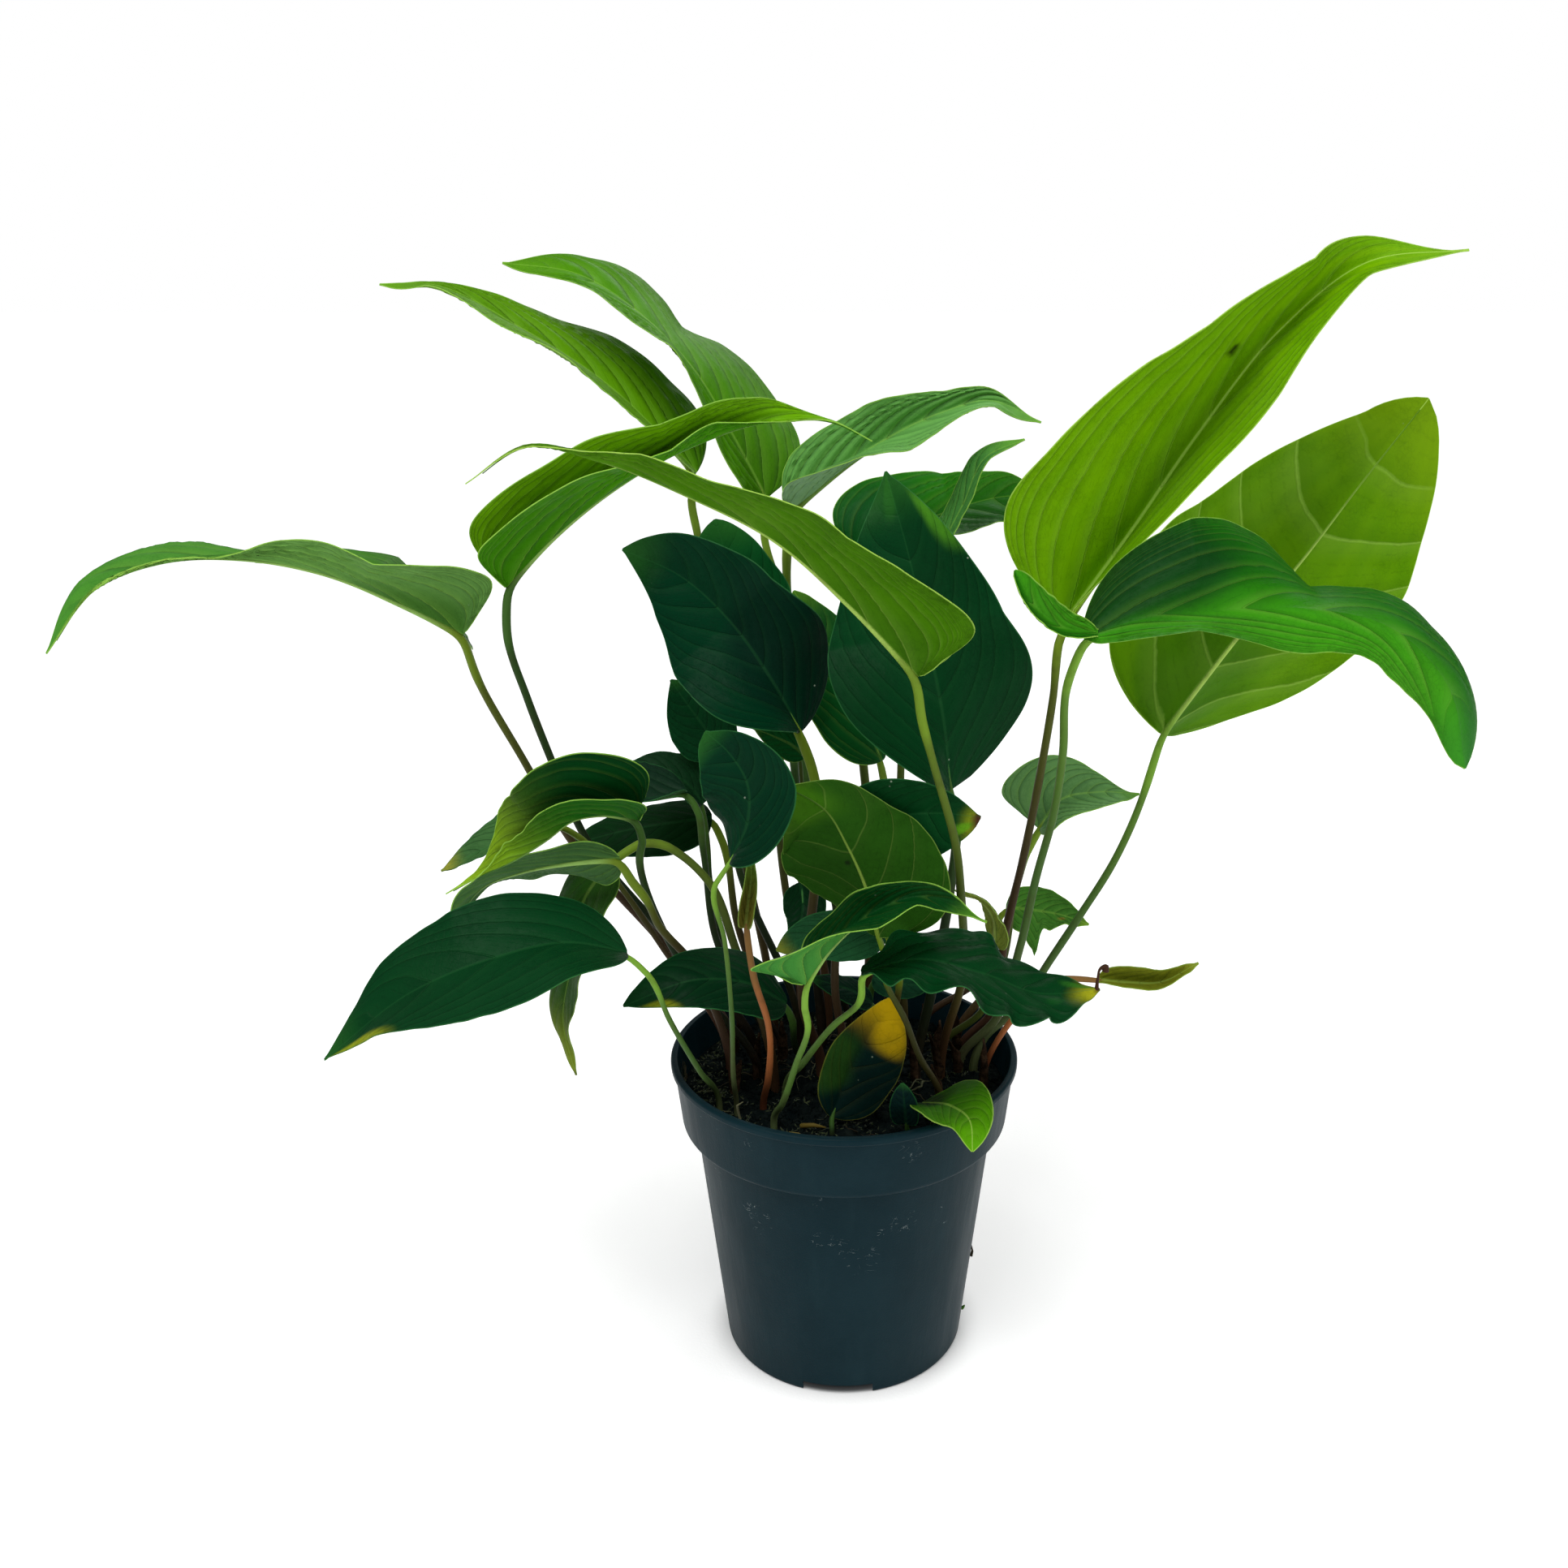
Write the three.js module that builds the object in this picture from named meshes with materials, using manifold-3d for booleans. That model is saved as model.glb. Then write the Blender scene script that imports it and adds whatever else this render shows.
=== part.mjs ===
// Anubias hastifolia growing in a 12 cm nursery pot: the pot, its soil, and each leaf with its stalk.
// Millimetres, +Z up. The origin is the middle of the pot's flat base, on the surface it stands on.
// The viewer's side is -Y and +X is to the viewer's right.
import * as THREE from "three";
import { mergeVertices } from "three/addons/utils/BufferGeometryUtils.js";
import Module from "manifold-3d";

const wasm = await Module();
wasm.setup();

const pot = {
  height: 110,
  rimRadius: 60,
  baseRadius: 42.5,
  wall: 1.6,
  collarHeight: 23.5, // the wider band under the rim
  collarRadius: 56.5, // outside, at the collar's lower edge
  bodyTopRadius: 51.9, // outside, just under the collar
  lip: 3, // height of the lip round the rim
  lipOut: 1.2, // how far the lip stands out
  floorHeight: 4.5, // under the floor, which stands on a foot ring and a pad
  footRing: 2, // thickness of the foot ring
  padRadius: 12,
  rounds: 36,
  notches: 3, // openings in the foot ring
  notchWidth: 24,
  notchHeight: 3.8,
  notchReach: 8, // how deep a notch is cut, half of it inwards
  notchAngle: -93, // degrees: the front one, a little to the left
  drains: 6, // holes in the floor
  drainRadius: 3.5,
  drainCircle: 27,
};
const soil = {
  top: 97, // level at the wall
  mound: 2.5, // how much higher it is in the middle
  lumps: 0.9, // height of its lumps
  lumpTurns: [0.31, 0.37, 0.17, 0.23], // how closely the lumps follow each other, radians a mm
  gap: 0.4, // between the soil and the pot, and round each stalk
  spare: 2, // how much further than the stalk its hole goes, both ways
  rings: 4,
};
const leafBlade = {
  thickness: 0.8,
  roundness: 0.55, // how full the outline is near the stalk
  wave: 1.1, // height of the waves along the edge
  waves: 3,
  waveShift: 1.9, // between the waves of the left and the right edge, radians
  columns: [-1, -0.55, 0, 0.55, 1], // lines of points across, from the left edge to the right
  cornerSharp: 3, // how sharp the corner of a cornered base is
  taper: 1.15, // how fast a cornered blade narrows to its tip
  baseHalfWidth: 1.3, // where the blade meets the stalk
  tipHalfWidth: 0.4,
  lobeEnd: 0.4, // share of the length over which a base lobe reaches back
  relax: 0.35, // share of the half width below which the fold opens out
  detail: 0.03, // smaller steps than this are left out
};
const stalkShape = {
  sides: 5,
  bottom: 86, // height of each stalk's foot in the soil
  straight: 102, // height up to which it stands upright
  leastStep: 5,
  taper: 0.2, // share of its radius that a stalk loses on the way up
  knee: 0.25, // extra radius of the joint under the blade
  kneeAt: 0.93, // share of the stalk at which the joint is thickest
  kneeReach: 0.05,
  ribEnd: 0.27, // share of the blade that the stalk carries on under, as its midrib
  ribRadius: 0.6,
  ribSink: 0.53, // how far the midrib lies under the middle of the blade
};
const sizes = {
  big: { rows: 9, steps: 7, radius: 1.8 },
  middle: { rows: 8, steps: 7, radius: 1.5 },
  small: { rows: 6, steps: 5, radius: 1.3 },
};
const earRows = 4; // of a lobe that stands up beside the stalk

const colours = {
  pot: { color: "#1c2a2f", roughness: 0.5 },
  soil: { color: "#2b2119", roughness: 0.95 },
  leaf_dark: { color: "#0f3d2a", roughness: 0.35 },
  leaf_green: { color: "#2c6a22", roughness: 0.38 },
  leaf_lime: { color: "#5c941d", roughness: 0.42 },
  leaf_olive: { color: "#57702e", roughness: 0.45 },
  leaf_yellow: { color: "#b09a1e", roughness: 0.5 },
};
const materials = {};
for (const [name, look] of Object.entries(colours)) {
  materials[name] = new THREE.MeshStandardMaterial({ name, metalness: 0, ...look });
}

const plant = new THREE.Group();
plant.name = "potted_anubias_hastifolia";
const vec = (p) => new THREE.Vector3(...p);
const clamp = THREE.MathUtils.clamp;

function solidOf(points, triangles) {
  return new wasm.Manifold(
    new wasm.Mesh({
      numProp: 3,
      vertProperties: new Float32Array(points.flatMap((p) => [p.x, p.y, p.z])),
      triVerts: new Uint32Array(triangles.flat()),
    }),
  );
}

function meshOf(name, solid, material) {
  const { vertProperties, triVerts, numProp } = solid.getMesh();
  const geometry = new THREE.BufferGeometry();
  geometry.setAttribute("position", new THREE.BufferAttribute(vertProperties, numProp));
  geometry.setIndex(new THREE.BufferAttribute(triVerts, 1));
  geometry.computeVertexNormals();
  const mesh = new THREE.Mesh(geometry, material);
  mesh.name = name;
  plant.add(mesh);
}

// A smooth curve through a few guide points, which t = 0..1 runs along by their spacing.
function smoothCurve(guides) {
  const knots = [0];
  for (let i = 1; i < guides.length; i++) {
    knots.push(knots[i - 1] + guides[i].distanceTo(guides[i - 1]));
  }
  const length = knots[knots.length - 1];
  const slope = guides.map((p, i) => {
    const before = i > 0 ? knots[i] - knots[i - 1] : 0;
    const after = i < guides.length - 1 ? knots[i + 1] - knots[i] : 0;
    const back = before ? p.clone().sub(guides[i - 1]).divideScalar(before) : null;
    const ahead = after ? guides[i + 1].clone().sub(p).divideScalar(after) : null;
    if (!back) return ahead;
    if (!ahead) return back;
    return back.multiplyScalar(after).addScaledVector(ahead, before).divideScalar(before + after);
  });
  const at = (t) => {
    const distance = clamp(t, 0, 1) * length;
    let i = 0;
    while (i < guides.length - 2 && distance > knots[i + 1]) i++;
    const span = knots[i + 1] - knots[i];
    const u = (distance - knots[i]) / span;
    return new THREE.Vector3()
      .addScaledVector(guides[i], 2 * u ** 3 - 3 * u ** 2 + 1)
      .addScaledVector(slope[i], (u ** 3 - 2 * u ** 2 + u) * span)
      .addScaledVector(guides[i + 1], 3 * u ** 2 - 2 * u ** 3)
      .addScaledVector(slope[i + 1], (u ** 3 - u ** 2) * span);
  };
  const along = (t) => at(Math.min(t + 0.005, 1)).sub(at(Math.max(t - 0.005, 0))).normalize();
  return { at, along, length };
}

// A round bar through a row of points, with its own radius at each, closed at both ends.
function bar(centres, radii, sides) {
  const points = [];
  const triangles = [];
  let across = new THREE.Vector3(1, 0, 0);
  centres.forEach((centre, i) => {
    const before = centres[Math.max(i - 1, 0)];
    const after = centres[Math.min(i + 1, centres.length - 1)];
    const forward = after.clone().sub(before).normalize();
    across = across.clone().addScaledVector(forward, -across.dot(forward)).normalize();
    const up = forward.clone().cross(across);
    for (let k = 0; k < sides; k++) {
      const turn = (2 * Math.PI * k) / sides;
      points.push(
        centre
          .clone()
          .addScaledVector(across, radii[i] * Math.cos(turn))
          .addScaledVector(up, radii[i] * Math.sin(turn)),
      );
    }
  });
  const last = centres.length - 1;
  for (let i = 0; i < last; i++) {
    for (let k = 0; k < sides; k++) {
      const a = i * sides + k;
      const b = i * sides + ((k + 1) % sides);
      triangles.push([a, b, b + sides], [a, b + sides, a + sides]);
    }
  }
  for (let k = 1; k < sides - 1; k++) {
    triangles.push([0, k + 1, k], [last * sides, last * sides + k, last * sides + k + 1]);
  }
  return solidOf(points, triangles);
}

// The middle surface of a blade: s runs from the stalk to the tip, v from the left edge (-1) to
// the right edge (1). Each half leaves the rib at its fold and bends further by its curl. A base
// is round, or opens in a straight line to a corner at leaf.corner, a share of the length.
function bladeSurface(leaf) {
  const rib = smoothCurve(leaf.rib.map(vec));
  const face = leaf.face.map((f) => vec(f).normalize());
  const frameAt = (s) => {
    const along = rib.along(s);
    const place = s * (face.length - 1);
    const i = Math.min(Math.floor(place), face.length - 2);
    const up = face[i].clone().lerp(face[i + 1], place - i);
    up.addScaledVector(along, -up.dot(along)).normalize();
    return { along, up, right: along.clone().cross(up) };
  };
  const sharp = leafBlade.cornerSharp;
  const opened = (s) => s / (s ** sharp + leaf.corner ** sharp) ** (1 / sharp);
  const cornered = (s, widest, fall) => {
    if (s < widest) return opened(s) / opened(widest);
    const left = (1 - s) / (1 - widest);
    return left ** fall * (1 + fall * (1 - left));
  };
  const halfWidth = (s, side) => {
    const widest = leaf.widest[side];
    const rise = leafBlade.roundness;
    const fall = (rise * (1 - widest)) / widest;
    const share = leaf.corner
      ? cornered(s, widest, leafBlade.taper * fall)
      : (s / widest) ** rise * ((1 - s) / (1 - widest)) ** fall;
    const least = THREE.MathUtils.lerp(leafBlade.baseHalfWidth, leafBlade.tipHalfWidth, s);
    return Math.max(leaf.width[side] * share, least);
  };
  const at = (s, v) => {
    const side = v < 0 ? 0 : 1;
    const t = Math.abs(v);
    const { along, up, right } = frameAt(s);
    const width = halfWidth(s, side);
    const opening = Math.min(1, width / (leafBlade.relax * leaf.width[side]));
    const start = THREE.MathUtils.degToRad(leaf.fold[side]) * opening;
    const bend = THREE.MathUtils.degToRad(leaf.curl[side]) * t * opening;
    const middle = start + bend / 2;
    const shrink = bend ? Math.sin(bend / 2) / (bend / 2) : 1;
    const lobe = clamp(s / leafBlade.lobeEnd, 0, 1);
    const back = leaf.corner
      ? opened(s) * Math.cos((Math.PI / 2) * lobe) ** 2
      : Math.sin(Math.PI * lobe);
    const phase = side * leafBlade.waveShift + leaf.rib.length;
    const ripple = Math.sin(2 * Math.PI * leafBlade.waves * s + phase);
    return rib
      .at(s)
      .addScaledVector(right, Math.sign(v) * width * t * shrink * Math.cos(middle))
      .addScaledVector(up, width * t * shrink * Math.sin(middle))
      .addScaledVector(up, leaf.wave * t * t * ripple * Math.sin(Math.PI * s))
      .addScaledVector(along, -leaf.lobe[side] * rib.length * t * back);
  };
  const nudge = 0.01;
  const normal = (s, v) => {
    const lengthwise = at(Math.min(s + nudge, 1), v).sub(at(Math.max(s - nudge, 0), v));
    const sideways = at(s, Math.min(v + nudge, 1)).sub(at(s, Math.max(v - nudge, -1)));
    return lengthwise.cross(sideways).negate().normalize();
  };
  return { at, normal, frameAt, rib };
}

// The blade as a sheet of even thickness: both faces are split into the same triangles. The
// first row of points after the stalk lies at the corner of the base, if it has one.
function bladeSolid(surface, rows, corner) {
  const { columns } = leafBlade;
  const wide = columns.length;
  const half = leafBlade.thickness / 2;
  const upper = [];
  const lower = [];
  const first = corner || 1 / rows;
  for (let i = 0; i <= rows; i++) {
    const s = i ? first + ((1 - first) * (i - 1)) / (rows - 1) : 0;
    for (const v of columns) {
      const middle = surface.at(s, v);
      const normal = surface.normal(s, v);
      if (v === 0 || i === 0 || i === rows) normal.copy(surface.frameAt(s).up);
      upper.push(middle.clone().addScaledVector(normal, half));
      lower.push(middle.clone().addScaledVector(normal, -half));
    }
  }
  const count = upper.length;
  const triangles = [];
  for (let i = 0; i < rows; i++) {
    for (let j = 0; j < wide - 1; j++) {
      const a = i * wide + j;
      const [b, c, d] = [a + 1, a + wide, a + wide + 1];
      const left = j < (wide - 1) / 2;
      const pair = left ? [[a, b, c], [b, d, c]] : [[a, b, d], [a, d, c]];
      for (const [p, q, r] of pair) {
        triangles.push([p, q, r], [p + count, r + count, q + count]);
      }
    }
  }
  const edge = [];
  for (let j = 0; j < wide - 1; j++) edge.push(j);
  for (let i = 0; i < rows; i++) edge.push(i * wide + wide - 1);
  for (let j = wide - 1; j > 0; j--) edge.push(rows * wide + j);
  for (let i = rows; i > 0; i--) edge.push(i * wide);
  edge.forEach((p, k) => {
    const q = edge[(k + 1) % edge.length];
    triangles.push([p, p + count, q + count], [p, q + count, q]);
  });
  return solidOf([...upper, ...lower], triangles);
}

// The stalk: upright in its hole in the soil, then along a curve through its guide points to the
// blade, and on under the blade as the thick end of the midrib.
function stalkSolid(leaf, surface, size) {
  const [x, y] = leaf.foot;
  const under = (s) => surface.rib.at(s).addScaledVector(surface.frameAt(s).up, -stalkShape.ribSink);
  const guides = [[x, y, stalkShape.straight], ...leaf.stalk].map(vec);
  const path = smoothCurve([...guides, under(0)]);
  const centres = [vec([x, y, stalkShape.bottom])];
  const radii = [size.radius];
  const steps = Math.min(size.steps, Math.ceil(path.length / stalkShape.leastStep));
  for (let i = 0; i <= steps; i++) {
    const t = i / steps;
    const offKnee = (t - stalkShape.kneeAt) / stalkShape.kneeReach;
    centres.push(path.at(t));
    radii.push(size.radius * (1 - stalkShape.taper * t) + stalkShape.knee * Math.exp(-(offKnee ** 2)));
  }
  const top = size.radius * (1 - stalkShape.taper);
  for (const share of [0.5, 1]) {
    centres.push(under(share * stalkShape.ribEnd));
    radii.push(THREE.MathUtils.lerp(top, stalkShape.ribRadius, share));
  }
  return bar(centres, radii, stalkShape.sides);
}

const stalkHoles = [];
function growLeaf(name, finish, sizeName, given) {
  const leaf = {
    curl: [0, 0],
    widest: [0.35, 0.35],
    lobe: [0.04, 0.04],
    corner: 0,
    wave: sizeName === "big" ? leafBlade.wave : 0,
    ...given,
  };
  const size = sizes[sizeName];
  const surface = bladeSurface(leaf);
  let solid = bladeSolid(surface, size.rows, leaf.corner).add(stalkSolid(leaf, surface, size));
  if (leaf.ear) {
    const lobe = { curl: [0, 0], widest: [0.5, 0.5], lobe: [0, 0], corner: 0, wave: 0, ...leaf.ear };
    solid = solid.add(bladeSolid(bladeSurface(lobe), earRows, 0));
  }
  const joined = solid.simplify(leafBlade.detail);
  meshOf("leaf_" + name, joined, materials["leaf_" + finish]);
  stalkHoles.push({ foot: leaf.foot, radius: size.radius + soil.gap });
}

// Inside radius of the pot's body at a height below the collar.
function innerRadius(z) {
  const slope = (pot.bodyTopRadius - pot.baseRadius) / (pot.height - pot.collarHeight);
  return pot.baseRadius - pot.wall + slope * z;
}

function makePot() {
  const { height, wall, rimRadius, baseRadius, collarRadius, lip, floorHeight, padRadius } = pot;
  const step = height - pot.collarHeight;
  const underLip = rimRadius - pot.lipOut;
  const outside = [
    [0, 0],
    [padRadius, 0],
    [padRadius + 0.5, floorHeight],
    [baseRadius - pot.footRing - 0.3, floorHeight],
    [baseRadius - pot.footRing, 0],
    [baseRadius - 0.6, 0],
    [baseRadius, 0.9],
    [pot.bodyTopRadius, step - 1.2],
    [collarRadius, step],
    [underLip, height - lip],
    [rimRadius, height - lip + 0.6],
    [rimRadius, height - 0.6],
    [rimRadius - 0.7, height],
  ];
  const inside = [
    [underLip - wall + 0.5, height],
    [underLip - wall, height - lip],
    [collarRadius - wall, step + wall],
    [innerRadius(step), step],
    [innerRadius(floorHeight + wall + 1), floorHeight + wall + 1],
    [innerRadius(floorHeight + wall) - 1, floorHeight + wall],
    [0, floorHeight + wall],
  ];
  let body = turned([...outside, ...inside]);
  for (let i = 0; i < pot.notches; i++) {
    const angle = THREE.MathUtils.degToRad(pot.notchAngle) + (2 * Math.PI * i) / pot.notches;
    const box = new THREE.BoxGeometry(pot.notchReach, pot.notchWidth, 2 * pot.notchHeight);
    box.translate(baseRadius, 0, 0).rotateZ(angle);
    body = body.subtract(closed(box));
  }
  for (let i = 0; i < pot.drains; i++) {
    const drain = new THREE.CylinderGeometry(pot.drainRadius, pot.drainRadius, 4 * floorHeight, 8);
    drain.rotateX(Math.PI / 2).translate(pot.drainCircle, 0, 0).rotateZ((2 * Math.PI * i) / pot.drains);
    body = body.subtract(closed(drain));
  }
  meshOf("pot", body, materials.pot);
}

// A solid of revolution about Z, from a profile of (radius, height) that starts and ends on it.
function turned(profile) {
  const points = [];
  const triangles = [];
  const { rounds } = pot;
  const inner = profile.slice(1, -1);
  for (const [radius, z] of inner) {
    for (let k = 0; k < rounds; k++) {
      const turn = (2 * Math.PI * k) / rounds;
      points.push(vec([radius * Math.cos(turn), radius * Math.sin(turn), z]));
    }
  }
  const first = points.push(vec([0, 0, profile[0][1]])) - 1;
  const last = points.push(vec([0, 0, profile[profile.length - 1][1]])) - 1;
  const end = (inner.length - 1) * rounds;
  for (let k = 0; k < rounds; k++) {
    const next = (k + 1) % rounds;
    triangles.push([first, next, k], [last, end + k, end + next]);
    for (let i = 0; i < inner.length - 1; i++) {
      const [a, b] = [i * rounds + k, i * rounds + next];
      triangles.push([a, b, b + rounds], [a, b + rounds, a + rounds]);
    }
  }
  return solidOf(points, triangles);
}

// A three.js box or cylinder as a solid, for cutting.
function closed(geometry) {
  geometry.deleteAttribute("normal");
  geometry.deleteAttribute("uv");
  const merged = mergeVertices(geometry);
  return new wasm.Manifold(
    new wasm.Mesh({
      numProp: 3,
      vertProperties: new Float32Array(merged.getAttribute("position").array),
      triVerts: new Uint32Array(merged.getIndex().array),
    }),
  );
}

// Lumpy potting soil that fills the pot, with a plain hole for each stalk.
function makeSoil() {
  const { gap, top, mound, lumps, rings } = soil;
  const step = pot.height - pot.collarHeight;
  const ledge = pot.collarRadius - pot.wall - gap;
  const edge = ledge + 1;
  const bottom = pot.floorHeight + pot.wall + gap;
  const profile = [
    [0, bottom],
    [innerRadius(bottom) - gap - 1.5, bottom],
    [innerRadius(bottom + 2) - gap, bottom + 2],
    [innerRadius(step) - gap, step + gap / 2],
    [ledge, step + pot.wall + gap],
    [edge, top],
  ];
  for (let i = rings - 1; i >= 0; i--) {
    const share = i / rings;
    profile.push([edge * share, top + mound * (1 - share ** 2)]);
  }
  const [a, b, c, d] = soil.lumpTurns;
  let body = turned(profile).warp((p) => {
    if (p[2] < top) return;
    const level = 1 - (Math.hypot(p[0], p[1]) / edge) ** 4;
    const lump = Math.sin(a * p[0] + 1) * Math.cos(b * p[1]) + Math.sin(c * p[0] - d * p[1]);
    p[2] += lumps * lump * level;
  });
  for (const { foot: [x, y], radius } of stalkHoles) {
    const low = vec([x, y, stalkShape.bottom - soil.spare]);
    const high = vec([x, y, stalkShape.straight + soil.spare]);
    body = body.subtract(bar([low, high], [radius, radius], stalkShape.sides));
  }
  meshOf("soil", body, materials.soil);
}

// The leaves, from the left of the plant to the right, then the low ones in the pot.
// foot: where the stalk stands in the soil; stalk and rib: guide points; face: which way the upper
// side looks, at even steps from the blade's base to its tip; width and fold: of the left and the
// right half; ear: a lobe that stands up at the base.
growLeaf("far_left", "green", "big", {
  foot: [-40, 19],
  stalk: [[-61, 24, 134], [-96, 23, 180], [-109, 18, 210], [-121, 12, 240]],
  rib: [
    [-122, 4, 256], [-139, 1, 266], [-163, -2, 277], [-186, -6, 282], [-208, -12, 282],
    [-227, -18, 275], [-242, -24, 256],
  ],
  face: [[0.3, 0.6, 0.7], [0.4, -0.1, 0.9], [0.1, 0.3, 0.9], [-0.3, -0.2, 0.9], [-0.5, -0.6, 0.6]],
  width: [25, 28],
  fold: [52, 23],
  curl: [-13, -36],
  widest: [0.12, 0.38],
  lobe: [0.07, 0.12],
  corner: 0.05,
});
growLeaf("left_cupped", "green", "big", {
  foot: [-31, 10],
  stalk: [[-56, 13, 139], [-89, 14, 184], [-98, 11, 212], [-104, 8, 234], [-108, 4, 254]],
  rib: [
    [-107, 0, 272], [-92, 4, 287], [-72, 9, 302], [-49, 14, 314], [-21, 18, 322], [-3, 21, 321],
    [9, 22, 315],
  ],
  face: [
    [-0.6, -0.3, 0.7], [-0.35, -0.6, 0.7], [-0.1, -0.8, 0.6], [-0.1, -0.3, 0.9],
    [0.5, -0.1, 0.9],
  ],
  width: [23, 22],
  fold: [80, 65],
  curl: [17, -3],
  widest: [0.25, 0.2],
  lobe: [0.02, 0.04],
  corner: 0.05,
});
growLeaf("upper_left_low", "green", "big", {
  foot: [-26, 34],
  stalk: [[-39, 40, 183], [-46, 56, 239], [-52, 66, 278], [-54, 68, 292]],
  rib: [[-52, 70, 300], [-84, 66, 332], [-110, 64, 349], [-139, 62, 363], [-156, 62, 363]],
  face: [[0.7, -0.5, 0.6], [0.5, -0.5, 0.7], [0, -0.6, 0.8]],
  width: [29, 28],
  fold: [32, 7],
  curl: [5, -15],
  widest: [0.35, 0.22],
});
growLeaf("upper_left_high", "green", "big", {
  foot: [-16, 42],
  stalk: [[-24, 50, 180], [-22, 62, 223], [-24, 74, 259], [-29, 78, 276]],
  rib: [
    [-28, 78, 290], [-39, 78, 311], [-52, 76, 334], [-71, 74, 354], [-90, 72, 366],
    [-116, 70, 370],
  ],
  face: [[0.6, -0.8, 0.3], [0.7, -0.3, 0.7], [0.1, -0.7, 0.7]],
  width: [16, 43],
  fold: [17, -3],
  curl: [0, -15],
  widest: [0.4, 0.3],
  lobe: [0.08, 0.04],
});
growLeaf("top_middle", "green", "big", {
  foot: [-6, 38],
  stalk: [[-15, 48, 181], [-19, 58, 239], [-20, 56, 274]],
  rib: [[-19, 52, 289], [6, 52, 308], [33, 50, 322], [48, 48, 326], [66, 46, 319]],
  face: [[-0.6, -0.2, 0.8], [-0.3, -0.8, 0.5], [0.2, -0.7, 0.7]],
  width: [15, 28],
  fold: [55, 44],
  widest: [0.27, 0.33],
});
growLeaf("bright_front", "lime", "big", {
  foot: [34, 2],
  stalk: [[39, -18, 146], [36, -39, 184], [34, -44, 200], [26, -43, 229], [23, -40, 240]],
  rib: [
    [22, -40, 253], [2, -44, 275], [-20, -49, 295], [-42, -54, 307], [-66, -57, 317],
    [-85, -59, 321], [-102, -60, 311],
  ],
  face: [[0.7, 0.3, 0.7], [0.65, -0.3, 0.7], [0.4, -0.3, 0.85], [-0.5, 0.05, 0.85]],
  width: [28, 16],
  fold: [61, 78],
  curl: [-18, 5],
  widest: [0.23, 0.14],
  lobe: [0.05, 0.09],
  corner: 0.05,
});
growLeaf("tall_right", "lime", "big", {
  foot: [42, 16],
  stalk: [[52, 14, 116], [56, 11, 149], [61, 6, 181], [65, 1, 214], [67, -3, 237], [68, -6, 257]],
  rib: [[70, -1, 261], [90, 3, 289], [110, 9, 318], [136, 17, 350], [162, 24, 369], [196, 30, 373]],
  face: [[-0.6, -0.6, 0.5], [-0.1, -0.9, 0.3], [0.1, -0.9, 0.5]],
  width: [47, 27],
  fold: [62, 51],
  curl: [5, 5],
  widest: [0.24, 0.29],
  lobe: [0.04, 0],
});
growLeaf("right_lime", "lime", "big", {
  foot: [46, 6],
  stalk: [
    [49, 8, 109], [63, 15, 119], [72, 20, 132], [83, 22, 150], [95, 24, 171], [103, 24, 193],
    [106, 24, 205],
  ],
  rib: [[108, 24, 217], [131, 26, 249], [153, 30, 276], [171, 36, 299], [194, 44, 327]],
  face: [[-0.6, 0.7, 0.4], [-0.2, 1, 0], [-0.2, 1, -0.1]],
  width: [45, 44],
  fold: [12, 47],
  curl: [-10, 5],
  widest: [0.45, 0.4],
});
growLeaf("right_domed", "green", "big", {
  foot: [41, 7],
  stalk: [
    [53, 6, 118], [60, 2, 147], [64, -3, 175], [68, -10, 201], [69, -16, 222], [68, -24, 245],
  ],
  rib: [
    [71, -33, 263], [86, -35, 269], [109, -37, 272], [134, -39, 273], [158, -41, 268],
    [177, -43, 250], [184, -45, 226],
  ],
  face: [
    [-0.4, -0.5, 0.8], [-0.1, -0.9, 0.4], [0.1, -0.05, 1], [0.65, -0.35, 0.65], [0.6, -0.75, 0.25],
  ],
  width: [31, 12.5],
  fold: [11, -48],
  curl: [-19, -40],
  widest: [0.44, 0.51],
  lobe: [0.01, 0],
  ear: {
    rib: [[75, -34, 264.5], [63, -35, 267], [54.5, -36.5, 274.5], [49.5, -36, 283.5]],
    face: [[0.3, -0.7, 0.6], [0.4, -0.8, 0.4]],
    width: [6.5, 6],
    fold: [20, 25],
    curl: [35, 35],
    widest: [0.6, 0.6],
  },
});
growLeaf("dark_left", "dark", "big", {
  foot: [-8, 2],
  stalk: [[-14, -3, 128], [-10, -4, 170], [-8, -1, 198], [-11, 2, 213]],
  rib: [[-14, 2, 224], [-24, 6, 241], [-37, 10, 259], [-53, 14, 273], [-72, 18, 281]],
  face: [[0.8, -0.3, 0.5], [-0.3, -1, 0], [-0.2, -1, 0]],
  width: [26, 25],
  fold: [22, 17],
  widest: [0.35, 0.4],
  lobe: [0.08, 0],
});
growLeaf("dark_right", "dark", "big", {
  foot: [25, -1],
  stalk: [[30, -2, 133], [35, -8, 172], [36, -12, 198]],
  rib: [[34, -16, 210], [31, -12, 234], [26, -6, 258], [20, 0, 283], [13, 8, 307]],
  face: [[0.9, -0.4, 0.2], [-0.3, -0.9, 0.1], [-0.3, -0.9, 0.2]],
  width: [33, 30],
  fold: [15, 15],
  lobe: [0.04, 0],
});
growLeaf("dark_behind", "dark", "big", {
  foot: [-8, 23],
  stalk: [[-16, 34, 170], [-18, 40, 205]],
  rib: [[-20, 36, 221], [-29, 40, 246], [-38, 43, 268], [-44, 45, 287]],
  face: [[-0.1, -1, 0.1], [-0.3, -1, 0.1], [0.1, -1, 0.1]],
  width: [21, 19],
  fold: [7, 12],
  widest: [0.45, 0.45],
});
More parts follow.
